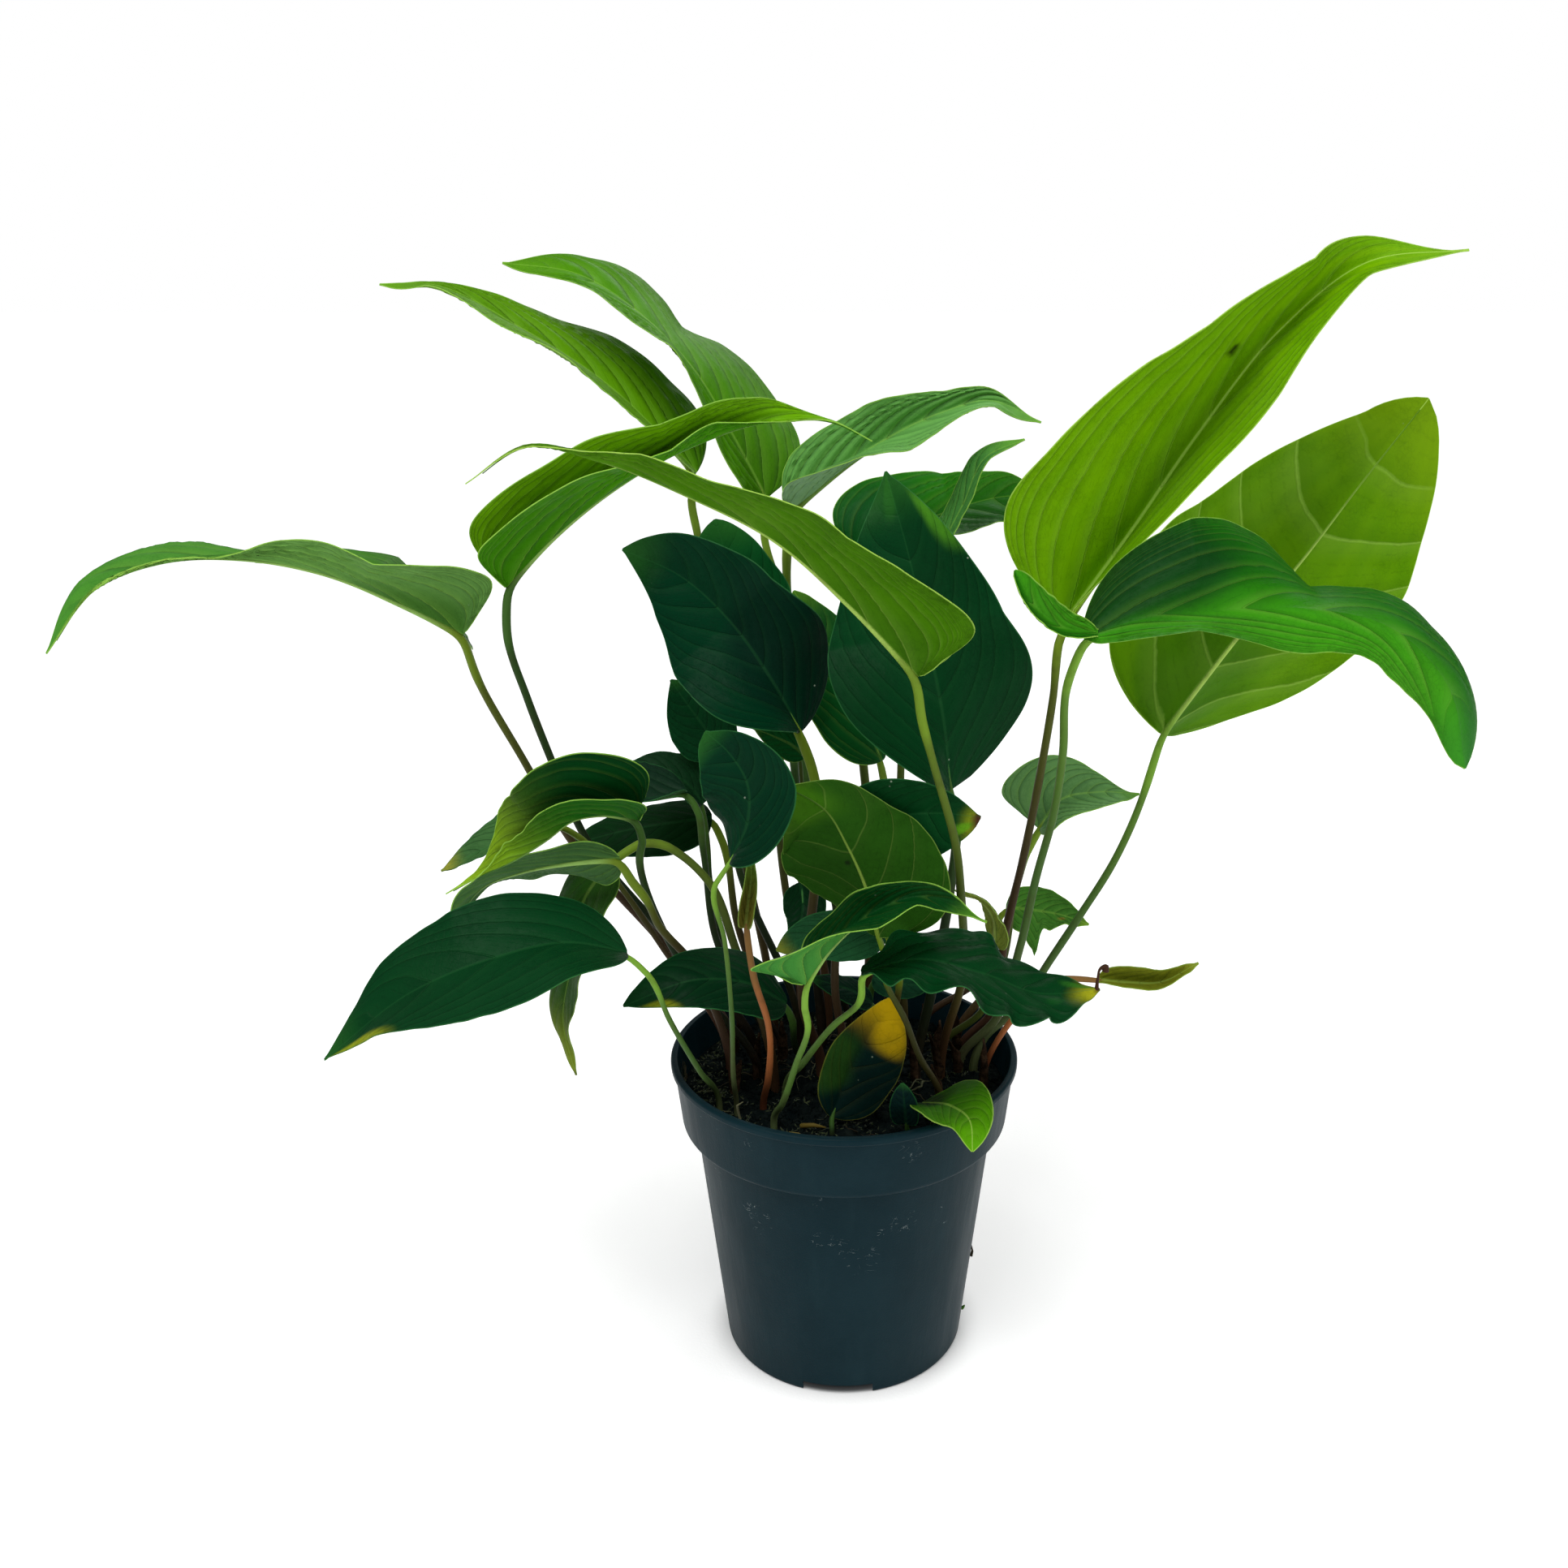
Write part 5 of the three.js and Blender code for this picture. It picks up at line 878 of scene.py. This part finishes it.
def sheetMesh(leaf, rows, columns, seed):  # a blade with two faces and an edge: points, faces and marks
    share = np.linspace(0, 1, rows + 1)
    runs = 0.55 * share + 0.45 * share**2.2  # rows lie closer at the base, columns at the rib
    half = np.linspace(0, 1, columns + 1)
    half = 0.75 * half**1.7 + 0.25 * half
    spans = np.concatenate([-half[::-1], half[1:]])
    sheet, normals, marks = bladeSheet(leaf, runs, spans, seed)
    thinning = smoothStep(0, blade["thinEdge"], marks["edgeOff"])
    offset = normals * (0.5 * (blade["edge"] + (blade["thickness"] - blade["edge"]) * thinning))[..., None]
    wide = len(spans)
    count = len(runs) * wide
    i, j = np.meshgrid(np.arange(rows), np.arange(wide - 1), indexing="ij")
    first = (i * wide + j).ravel()
    upper = np.stack([first, first + 1, first + wide + 1, first + wide], 1)
    lower = upper[:, ::-1] + count
    loop = np.concatenate([
        np.arange(wide - 1), np.arange(rows) * wide + wide - 1,
        rows * wide + np.arange(wide - 1, 0, -1), np.arange(rows, 0, -1) * wide])
    after = np.roll(loop, -1)
    rim = np.stack([loop, loop + count, after + count, after], 1)
    points = np.vstack([(sheet + offset).reshape(-1, 3), (sheet - offset).reshape(-1, 3)])
    given = {mark: np.tile(marks[mark].ravel(), 2) for mark in ("vein", "ribOff", "edgeOff", "run")}
    given["under"] = np.repeat([0.0, 1.0], count)
    tints = [bladeTint(leaf, marks, under, seed).reshape(-1, 4) for under in (False, True)]
    return points, np.vstack([upper, lower, rim]), dict(given, tint=np.vstack(tints))


def chain(start, count):  # edges that join points one after the other
    return np.stack([np.arange(count - 1), np.arange(1, count)], 1) + start


def meshLeaf(name, given, sweep, seed):
    leaf = leafDefaults | finishes[given["finish"]] | given
    points, faces, marks = sheetMesh(leaf, *gridSizes[leaf["size"]], seed)
    if leaf["ear"]:  # a lobe that stands up beside the stalk
        ear = leaf | earDefaults | leaf["ear"]
        earPoints, earFaces, earMarks = sheetMesh(ear, *gridSizes["small"], seed + 5)
        faces = np.vstack([faces, earFaces + len(points)])
        points = np.vstack([points, earPoints])
        marks = {mark: np.concatenate([values, earMarks[mark]]) for mark, values in marks.items()}
    path, girth, pathTint = growStalk(leaf, seed)
    count = len(points)
    edges = chain(count, len(path))
    if leaf["hook"]:  # a tip that dried and curled up
        curl = np.linspace(0, 1, stalkSizes["hookSteps"])
        waist = stalkSizes["hookWaist"] * (smoothStep(0.6, 1, curl) - np.sin(math.pi * curl))
        edges = np.vstack([edges, chain(count + len(path), len(curl))])
        path = np.vstack([path, smoothCurve(leaf["hook"])[0](curl)])
        girth = np.append(girth, stalkSizes["hookRadius"] + waist)
        pathTint = np.vstack([pathTint, shade(blade["dried"]) + 0 * curl[:, None]])
    mesh = plainMesh(name, np.vstack([points, path]), edges.tolist(), faces.tolist())
    setValues(mesh, "tint", np.vstack([marks.pop("tint"), pathTint]), "FLOAT_COLOR")
    for mark, values in marks.items():
        setValues(mesh, mark, np.concatenate([values, 0 * girth]))
    setValues(mesh, "girth", np.concatenate([np.zeros(count), girth * mm]))
    mesh.materials.append(skins[leaf["finish"]])
    grown = grow(name, mesh, sweep, {"Sides": stalkSizes["sides"], "Skin": stalkSkin})
    grown.set_sharp_from_angle(angle=math.radians(blade["sharp"]))
    return grown


sweep = stalkTree()
for number, (name, leaf) in enumerate(leaves.items()):
    wave = dict(wave=blade["bigWave"]) if leaf["size"] == "big" else {}
    mesh = meshLeaf("leafMesh" + str(number), wave | leaf, sweep, 10 * number)
    title = "leaf" + "".join(part.capitalize() for part in name.split("_"))
    place(title, mesh, "leaf_" + leaf["finish"], "leaf_" + name)
place("leafLow", meshLeaf("leafLowMesh", lowLeaf, sweep, 777), "leaf_dark")
print("leaves:", len(leaves))


# The pot, turned from a profile of radius and height in mm with every corner rounded
pot = dict(
    height=110, rim=60, base=42.5, wall=1.6, step=86.5, collar=56.5, bodyTop=51.9, floor=4.5, foot=2,
    pad=12, corner=0.45, small=0.3, lip=0.4, shoulder=1.5, lipHigh=2.4, lipOver=1.2, lipSlope=0.6, sharp=40,
    sectors=144, notches=3, notchDeep=8, notchWide=24, notchHigh=3.8, notchTurn=-93,
    drains=6, drainRadius=3.5, drainCircle=27, drainSides=32, drainDeep=18)


def innerRadius(height):
    return pot["base"] - pot["wall"] + (pot["bodyTop"] - pot["base"]) / pot["step"] * height


def rounded(corners, steps=4):  # (radius, height, rounding) corners to a smooth profile
    points = []
    for i, (*corner, size) in enumerate(corners):
        here = np.array(corner, float)
        if not size:
            points.append(here)
            continue
        ways = [np.array(corners[k][:2], float) - here for k in (i - 1, i + 1)]
        start, end = (here + unit(way) * min(size, 0.45 * np.linalg.norm(way)) for way in ways)
        for u in np.linspace(0, 1, steps + 1):
            points.append((1 - u) ** 2 * start + 2 * u * (1 - u) * here + u**2 * end)
    return np.array(points)


def turned(name, profile, sectors):  # profile from the axis outside and up, then inside and down to it
    ring = np.linspace(0, 2 * math.pi, sectors, endpoint=False)
    body = profile[1:-1]
    points = np.stack([
        body[:, :1] * np.cos(ring), body[:, :1] * np.sin(ring), body[:, 1:] + 0 * ring], 2).reshape(-1, 3)
    points = np.vstack([points, [0, 0, profile[0][1]], [0, 0, profile[-1][1]]])
    faces = []
    last = (len(body) - 1) * sectors
    for k in range(sectors):
        following = (k + 1) % sectors
        faces.append((len(points) - 2, following, k))
        faces.append((len(points) - 1, last + k, last + following))
        for i in range(0, last, sectors):
            faces.append((i + k, i + following, i + following + sectors, i + k + sectors))
    return plainMesh(name, points, [], faces)


def potTree():  # cuts the foot notches and the drain holes, each set repeated round a circle
    tree, given, out = newTree("potCuts", {
        "Notches": "Int", "Notch size": "Vector", "Notch circle": "Float", "First notch": "Rotation",
        "Drains": "Int", "Drain radius": "Float", "Drain circle": "Float", "Skin": "Material"})
    add = tied(tree)[0]

    def circle(count, radius):
        return add("GeometryNodeMeshCircle", {"Vertices": given[count], "Radius": given[radius]}).outputs[0]

    def repeat(points, **inputs):
        return add("GeometryNodeInstanceOnPoints", {"Points": points, **inputs}).outputs[0]

    block = add("GeometryNodeMeshCube", {"Size": given["Notch size"]}).outputs[0]
    spots = circle("Notches", "Notch circle")
    spots = add("GeometryNodeTransform", {"Geometry": spots, "Rotation": given["First notch"]}).outputs[0]
    outward = add("GeometryNodeInputPosition").outputs[0]
    facing = add("FunctionNodeAlignRotationToVector", {"Vector": outward}, axis="X").outputs[0]
    drill = {"Vertices": pot["drainSides"], "Radius": given["Drain radius"], "Depth": pot["drainDeep"] * mm}
    drill = add("GeometryNodeMeshCylinder", drill).outputs[0]
    cut = add("GeometryNodeMeshBoolean", {"Mesh 1": given["Geometry"]}, operation="DIFFERENCE")
    cut.solver = "EXACT"
    for tools in (repeat(spots, Instance=block, Rotation=facing),
                  repeat(circle("Drains", "Drain circle"), Instance=drill)):
        real = add("GeometryNodeRealizeInstances", {"Geometry": tools}).outputs[0]
        tree.links.new(real, cut.inputs["Mesh 2"])
    smooth = add("GeometryNodeSetShadeSmooth", {"Geometry": cut.outputs[0]}).outputs[0]
    endTree(tree, smooth, out, Material=given["Skin"])
    return tree


potLook = dict(
    dark=(0.003, 0.0165, 0.0225, 1), blue=(0.005, 0.021, 0.028, 1), streak=(0.010, 0.030, 0.037, 1),
    rubbed=(0.30, 0.36, 0.36, 1),
    worn=(0.052, 0.066, 0.078, 0.086), wornCollar=(0.094, 0.1),  # heights in metres where it is scratched
    scuffs=(  # centre, reach in mm and strength of each rubbed place on the wall
        (-28, -41, 69.5, 7, 0.9), (-31, -39, 72, 3.5, 1), (-8.5, -49, 66.3, 3.5, 0.9),
        (-2.5, -49.5, 64.5, 5, 0.8), (6, -48.5, 58, 7, 0.9), (12, -48, 57, 3, 1),
        (10.5, -49, 68.5, 4, 0.7), (19.5, -46.5, 71.5, 5.5, 0.9), (21, -54.5, 102, 5, 0.7),
        (30.5, -45, 83, 4, 0.5), (-8, -51, 81.5, 3, 0.6), (-30.5, -49.6, 102, 2.5, 0.8),
        (30, 38, 62, 8, 0.7), (-18, 46, 70, 7, 0.7), (48, 9, 68, 6, 0.6), (-47, 12, 60, 7, 0.6)))


def potPlastic():  # dark plastic with drawn streaks, fine scratches and rubbed places
    material, tree, skin = newMaterial("potPlastic", specular=0.05)
    add, calc, times, ramp, mixed, grain, _ = tied(tree)
    where = add("ShaderNodeTexCoord").outputs["Object"]

    def stretched(**inputs):
        return add("ShaderNodeMapping", {"Vector": where, **inputs}).outputs[0]

    streaks = grain(stretched(Scale=(1, 1, 0.15)), 90.0, 4.0, 0.6)
    cloud = grain(where, 35.0, 4.0, 0.6)
    pores = grain(where, 1800.0, 2.0, 0.6)
    height = add("ShaderNodeSeparateXYZ", {0: where}).outputs[2]
    low, full, fading, high = potLook["worn"]
    band = times(ramp(height, low, full), ramp(height, fading, high, 1.0, 0.0))
    band = calc("MAXIMUM", band, times(ramp(height, *potLook["wornCollar"]), 0.5))
    scratches = grain(stretched(Rotation=(0.5, 0.35, 0.2), Scale=(1, 1, 3.2)), 260.0, 4.0, 0.7, 1.2)
    scuff = times(ramp(scratches, 0.66, 0.72), ramp(cloud, 0.52, 0.6), band)
    squiggles = grain(stretched(Scale=(1, 1, 1.7)), 230.0, 3.0, 0.6, 0.8)
    squiggles = calc("ABSOLUTE", calc("SUBTRACT", squiggles, 0.5))
    squiggles = ramp(squiggles, 0.003, 0.011, 0.75, 0.0)
    broken = ramp(grain(where, 420.0), 0.5, 0.62)
    for x, y, z, wide, strength in potLook["scuffs"]:
        centre = (x * mm, y * mm, z * mm)
        away = add("ShaderNodeVectorMath", {0: where, 1: centre}, operation="DISTANCE").outputs["Value"]
        spot = ramp(away, 0.5 * wide * mm, wide * mm, strength, 0.0)
        scuff = calc("MAXIMUM", scuff, times(spot, squiggles, broken))
    colour = mixed(ramp(cloud, 0.3, 0.7), potLook["dark"], potLook["blue"])
    colour = mixed(ramp(streaks, 0.5, 0.8, 0.0, 0.4), colour, potLook["streak"])
    colour = mixed(scuff, colour, potLook["rubbed"])
    rough = calc("ADD", ramp(streaks, 0.3, 0.7, 0.36, 0.48), times(scuff, 0.3))
    relief = calc("ADD", times(pores, 0.06), times(streaks, 0.25))
    wireSkin(tree, skin, colour, rough, calc("ADD", relief, times(scuff, 0.1)))
    return material


def potProfile():
    bend, small, lip, wall = pot["corner"], pot["small"], pot["lip"], pot["wall"]
    base, foot, top = pot["base"], pot["base"] - pot["foot"], pot["height"]
    lipFoot, under, floorTop = top - pot["lipHigh"], pot["rim"] - pot["lipOver"], pot["floor"] + wall
    outside = [
        (0, 0, 0), (pot["pad"], 0, small), (pot["pad"] + 0.5, pot["floor"], small),
        (foot - 0.3, pot["floor"], bend), (foot, 0, small), (base - 0.6, 0, small), (base, 0.9, bend),
        (pot["bodyTop"], pot["step"] - 1.2, 0.9), (pot["collar"], pot["step"], pot["shoulder"]),
        (under, lipFoot - pot["lipSlope"], bend), (pot["rim"], lipFoot, bend), (pot["rim"], top - 0.6, lip),
        (pot["rim"] - 0.7, top, lip)]
    inside = [
        (under - 1.1, top, lip), (under - wall, lipFoot - pot["lipSlope"], bend),
        (pot["collar"] - wall, pot["step"] + wall, 1), (innerRadius(pot["step"]), pot["step"], 1),
        (innerRadius(floorTop + 1), floorTop + 1, bend), (innerRadius(floorTop) - 1, floorTop, bend),
        (0, floorTop, 0)]
    return rounded(outside + inside)


notch = [size * mm for size in (pot["notchDeep"], pot["notchWide"], 2 * pot["notchHigh"])]
potMesh = grow("pot", turned("pot", potProfile(), pot["sectors"]), potTree(), {
    "Notches": pot["notches"], "Notch size": notch, "Notch circle": pot["base"] * mm,
    "First notch": (0, 0, math.radians(pot["notchTurn"])), "Drains": pot["drains"],
    "Drain radius": pot["drainRadius"] * mm, "Drain circle": pot["drainCircle"] * mm, "Skin": potPlastic()})
potMesh.set_sharp_from_angle(angle=math.radians(pot["sharp"]))
place("pot", potMesh, "pot", "pot")
print("pot is turned, notched and drilled")


# The potting soil: a lumpy top on a plug that fills the pot
soil = dict(
    top=97, mound=2.5, lumps=0.9, turns=(0.31, 0.37, 0.17, 0.23), rough=1.3, fine=0.5, gap=0.4,
    rings=60, sectors=180, coverDepth=1.5, coverReach=54.5,
    dark=(0.0015, 0.004, 0.0045, 1), light=(0.010, 0.0145, 0.013, 1))
soilEdge = pot["collar"] - pot["wall"] - soil["gap"]


def soilHeight(x, y):
    share = math.hypot(x, y) / (soilEdge + 1)
    a, b, c, d = soil["turns"]
    lump = math.sin(a * x + 1) * math.cos(b * y) + math.sin(c * x - d * y)
    height = soil["top"] + soil["mound"] * (1 - share**2) + soil["lumps"] * lump * (1 - share**4)
    rough = noise.fractal(Vector((x, y, 3)) * 0.11, 0.9, 2.2, 4) * soil["rough"]
    fine = noise.noise(Vector((x, y, 9)) * 0.9) * soil["fine"]
    return height + (rough + fine) * (1 - share**8)


def soilPlug():
    gap, top, step = soil["gap"], soil["top"], pot["step"]
    bottom = pot["floor"] + pot["wall"] + gap
    profile = [
        (0, bottom), (innerRadius(bottom) - gap - 1.5, bottom), (innerRadius(bottom + 2) - gap, bottom + 2),
        (innerRadius(step) - gap, step + gap / 2), (soilEdge, step + pot["wall"] + gap),
        (soilEdge + 1, top)]
    rings = np.arange(1, soil["rings"] + 1) / soil["rings"]
    profile += [((soilEdge + 1) * (1 - ring) ** 0.9, top + 1) for ring in rings]
    mesh = turned("soil", np.array(profile, float), soil["sectors"])
    for vertex in mesh.vertices:
        if vertex.co.z > (top - 0.1) * mm:
            vertex.co.z = soilHeight(vertex.co.x / mm, vertex.co.y / mm) * mm
    mesh.shade_smooth()
    return mesh


def earth(name, dark, light, sheen=0.0):
    material, tree, skin = newMaterial(name, specular=0.03, sheen=sheen)
    add, calc, times, ramp, mixed, grain, _ = tied(tree)
    where = add("ShaderNodeTexCoord").outputs["Object"]
    lumps = grain(where, 260.0, 5.0, 0.7)
    cells = add("ShaderNodeTexVoronoi", {"Vector": where, "Scale": 420.0}).outputs
    bits = add("ShaderNodeSeparateColor", {0: cells["Color"]}).outputs[0]
    colour = mixed(ramp(lumps, 0.35, 0.75), dark, light)
    colour = mixed(ramp(bits, 0.8, 1.0, 0.0, 0.6), colour, light)
    relief = calc("SUBTRACT", lumps, times(cells["Distance"], 0.4))
    wireSkin(tree, skin, colour, ramp(lumps, 0.2, 0.8, 0.75, 0.95), relief, 1.2 * mm)
    return material


def scatterTree():  # strews small irregular pieces over the faces where "cover" is set
    tree, given, out = newTree("scatter", {
        "Density": "Float", "Size": "Float", "Length": "Float", "Seed": "Int", "Skin": "Material"})
    add, _, times, *_ = tied(tree)
    cover = add("GeometryNodeInputNamedAttribute", {"Name": "cover"}).outputs[0]
    spots = add("GeometryNodeDistributePointsOnFaces", {
        "Mesh": given["Geometry"], "Density": times(cover, given["Density"]), "Seed": given["Seed"]})
    bit = add("GeometryNodeMeshIcoSphere", {"Radius": 1.0, "Subdivisions": 1}).outputs[0]
    turn = add("FunctionNodeRandomValue", {"Seed": given["Seed"]}, data_type="FLOAT_VECTOR")
    turn.inputs[1].default_value = (6.28, 6.28, 6.28)
    size = add("FunctionNodeRandomValue", {2: 0.35, 3: 1.5, "Seed": given["Seed"]}, data_type="FLOAT")
    size = times(size.outputs[1], given["Size"])
    scale = add("ShaderNodeCombineXYZ", {0: size, 1: times(size, 0.7), 2: times(size, given["Length"])})
    bits = add("GeometryNodeInstanceOnPoints", {
        "Points": spots.outputs["Points"], "Instance": bit, "Rotation": turn.outputs[0],
        "Scale": scale.outputs[0]})
    endTree(tree, bits.outputs[0], out, Material=given["Skin"])
    return tree


def coverOf(mesh, rule):  # a copy of the soil that knows where something grows or lies
    copy = mesh.copy()
    spots = np.zeros(3 * len(copy.vertices))
    copy.vertices.foreach_get("co", spots)
    setValues(copy, "cover", [rule(*spot) for spot in spots.reshape(-1, 3) / mm])
    return copy


def crumbCover(x, y, z):  # the whole top, but not the side of the plug
    return float(z > soil["top"] - soil["coverDepth"] and math.hypot(x, y) < soil["coverReach"])


def mossCover(x, y, z):  # patches, most of them at the left and some in front
    patch = noise.noise(Vector((x, y, 1)) * 0.14)
    patch = patch + 0.9 * smoothStep(30, 54, -x) + 0.35 * smoothStep(20, 50, -y)
    return crumbCover(x, y, z) * float(smoothStep(0.1, 0.5, patch))


litter = dict(
    soilCrumbs={"Density": 2.6e5, "Size": 0.85 * mm, "Length": 1.0, "Seed": 4},
    moss={"Density": 5.0e5, "Size": 0.28 * mm, "Length": 5.0, "Seed": 9})
pottingSoil = earth("pottingSoil", soil["dark"], soil["light"])
mossGreen = earth("mossGreen", (0.018, 0.03, 0.012, 1), (0.075, 0.09, 0.035, 1), sheen=0.2)
soilMesh = soilPlug()
soilMesh.materials.append(pottingSoil)
place("soil", soilMesh, "soil", "soil")
scatter = scatterTree()
for name, rule, skin in (("soilCrumbs", crumbCover, pottingSoil), ("moss", mossCover, mossGreen)):
    place(name, grow(name, coverOf(soilMesh, rule), scatter, litter[name] | {"Skin": skin}), "soil")

roots = dict(
    count=26, climbers=16, climb=12, radius=0.32, sides=6, steps=26, stride=1.1, wander=0.55,
    reach=51, seed=5, tones=("#4a4432", "#3c4232", "#332a1e", "#5a5c44"),
    bits=(  # crumbs on the pot's side and litter on the soil: three points, radius, tone
        (((46, -4, 28.5), (46.4, -4, 30.5), (46, -4, 33)), 0.6, "#2a2418"),
        (((43, -4, 6), (43.7, -4, 6.6), (44.2, -4, 7.4)), 0.7, "#3f6a24"),
        (((-14, -33, 99), (-10, -36, 101), (-6, -35, 99.5)), 0.9, "#6a5a24"),
        (((-18, -38, 99), (-15, -40, 100), (-12, -40, 99)), 0.7, "#7a6a30"),
        (((-34, -32, 99), (-35, -34, 107), (-33, -35, 109)), 0.5, "#8a8a68")))


def rootPaths():  # thin roots that wander over the soil from random points
    random = np.random.default_rng(roots["seed"])
    points, edges, girth, tint = [], [], [], []

    def lay(line, radii, tone):
        edges.extend(chain(len(points), len(line)).tolist())
        points.extend(line)
        girth.extend(radii)
        tint.extend([tone] * len(line))

    def anyTone():
        return shade(roots["tones"][random.integers(len(roots["tones"]))])

    for _ in range(roots["count"]):
        turn, far = random.uniform(0, 2 * math.pi), random.uniform(8, 46)
        x, y = far * math.cos(turn), far * math.sin(turn)
        heading = random.uniform(0, 2 * math.pi)
        tone = anyTone()
        wide = roots["radius"] * random.uniform(0.5, 1.3)
        line = []
        for k in range(roots["steps"]):
            heading += random.normal(0, roots["wander"])
            if math.hypot(x, y) > roots["reach"]:
                heading = math.atan2(-y, -x)
            x += roots["stride"] * math.cos(heading)
            y += roots["stride"] * math.sin(heading)
            arch = 0.8 * math.sin(math.pi * k / roots["steps"]) * (1 + math.sin(k * 0.7 + far))
            line.append((x, y, soilHeight(x, y) + wide * 0.6 + arch))
        lay(line, wide * (1 - 0.7 * np.arange(roots["steps"]) / roots["steps"]), tone)
    for _ in range(roots["climbers"]):  # dry roots that cling to the wall on the left
        turn, high = math.radians(random.uniform(176, 228)), soil["top"] - 1
        wide = roots["radius"] * random.uniform(0.6, 1.2)
        tone = anyTone()
        line = []
        for _ in range(roots["climb"]):
            turn += random.normal(0, 0.02)
            high += random.uniform(-0.3, 1.5)
            close = pot["collar"] - pot["wall"] - wide + (high - pot["step"]) * 0.1
            line.append((close * math.cos(turn), close * math.sin(turn), high))
        lay(line, wide * (1 - 0.06 * np.arange(roots["climb"])), tone)
    for line, wide, tone in roots["bits"]:
        lay(line, (wide, 0.8 * wide, 0.3 * wide), shade(tone))
    mesh = plainMesh("roots", points, edges, [])
    setValues(mesh, "girth", np.array(girth) * mm)
    setValues(mesh, "tint", tint, "FLOAT_COLOR")
    return mesh


sheaths = dict(
    feet=((34, 2), (42, 16), (41, 7), (41, 24), (29, 34), (48, -6), (33, 12), (33, -22), (25, -1),
          (-40, 19), (-31, 10), (-41, 9), (-38, -9), (-30, -1), (-22, 14), (13, -5)),
    tall=(13, 27), wide=(1.6, 3), aside=2.1, lean=0.22, grid=(16, 6), seed=11, turns=(-2.6, -0.5),
    look=dict(fold=(-35, -35), curl=(-50, -50), lobe=(0, 0), wave=0.5),
    dark=(0.012, 0.007, 0.004, 1), light=(0.07, 0.04, 0.022, 1))


def sheathMesh():  # dry papery sheaths that stand against the stalks
    random = np.random.default_rng(sheaths["seed"])
    points, faces = np.zeros((0, 3)), np.zeros((0, 4), int)
    upward = np.array([0, 0, 1])
    for number, (x, y) in enumerate(sheaths["feet"]):
        turn = random.uniform(*sheaths["turns"])
        way = np.array([math.cos(turn), math.sin(turn), 0])
        foot = np.array([x, y, soil["top"] - 1]) + sheaths["aside"] * way
        tall, wide = random.uniform(*sheaths["tall"]), random.uniform(*sheaths["wide"])
        lean = sheaths["lean"] * (0.4 * way - 0.6 * np.array([x, y, 0]) / 50)  # out, and back to the stalk
        rib = [foot + tall * (share * upward + share**2 * lean) for share in (0, 0.35, 0.7, 1)]
        sheath = leafDefaults | finishes["olive"] | sheaths["look"] | dict(
            rib=rib, face=[way + (0, 0, 0.2)] * 2, width=(wide, wide))
        sheet, rims, _ = sheetMesh(sheath, *sheaths["grid"], 300 + number)
        faces = np.vstack([faces, rims + len(points)])
        points = np.vstack([points, sheet])
    mesh = plainMesh("sheaths", points, [], faces.tolist())
    mesh.materials.append(earth("drySheath", sheaths["dark"], sheaths["light"]))
    mesh.shade_smooth()
    return mesh


place("sheaths", sheathMesh(), "soil")
place("roots", grow("roots", rootPaths(), sweep, {"Sides": roots["sides"], "Skin": stalkSkin}), "soil")
print("soil, crumbs, moss and roots lie in the pot")
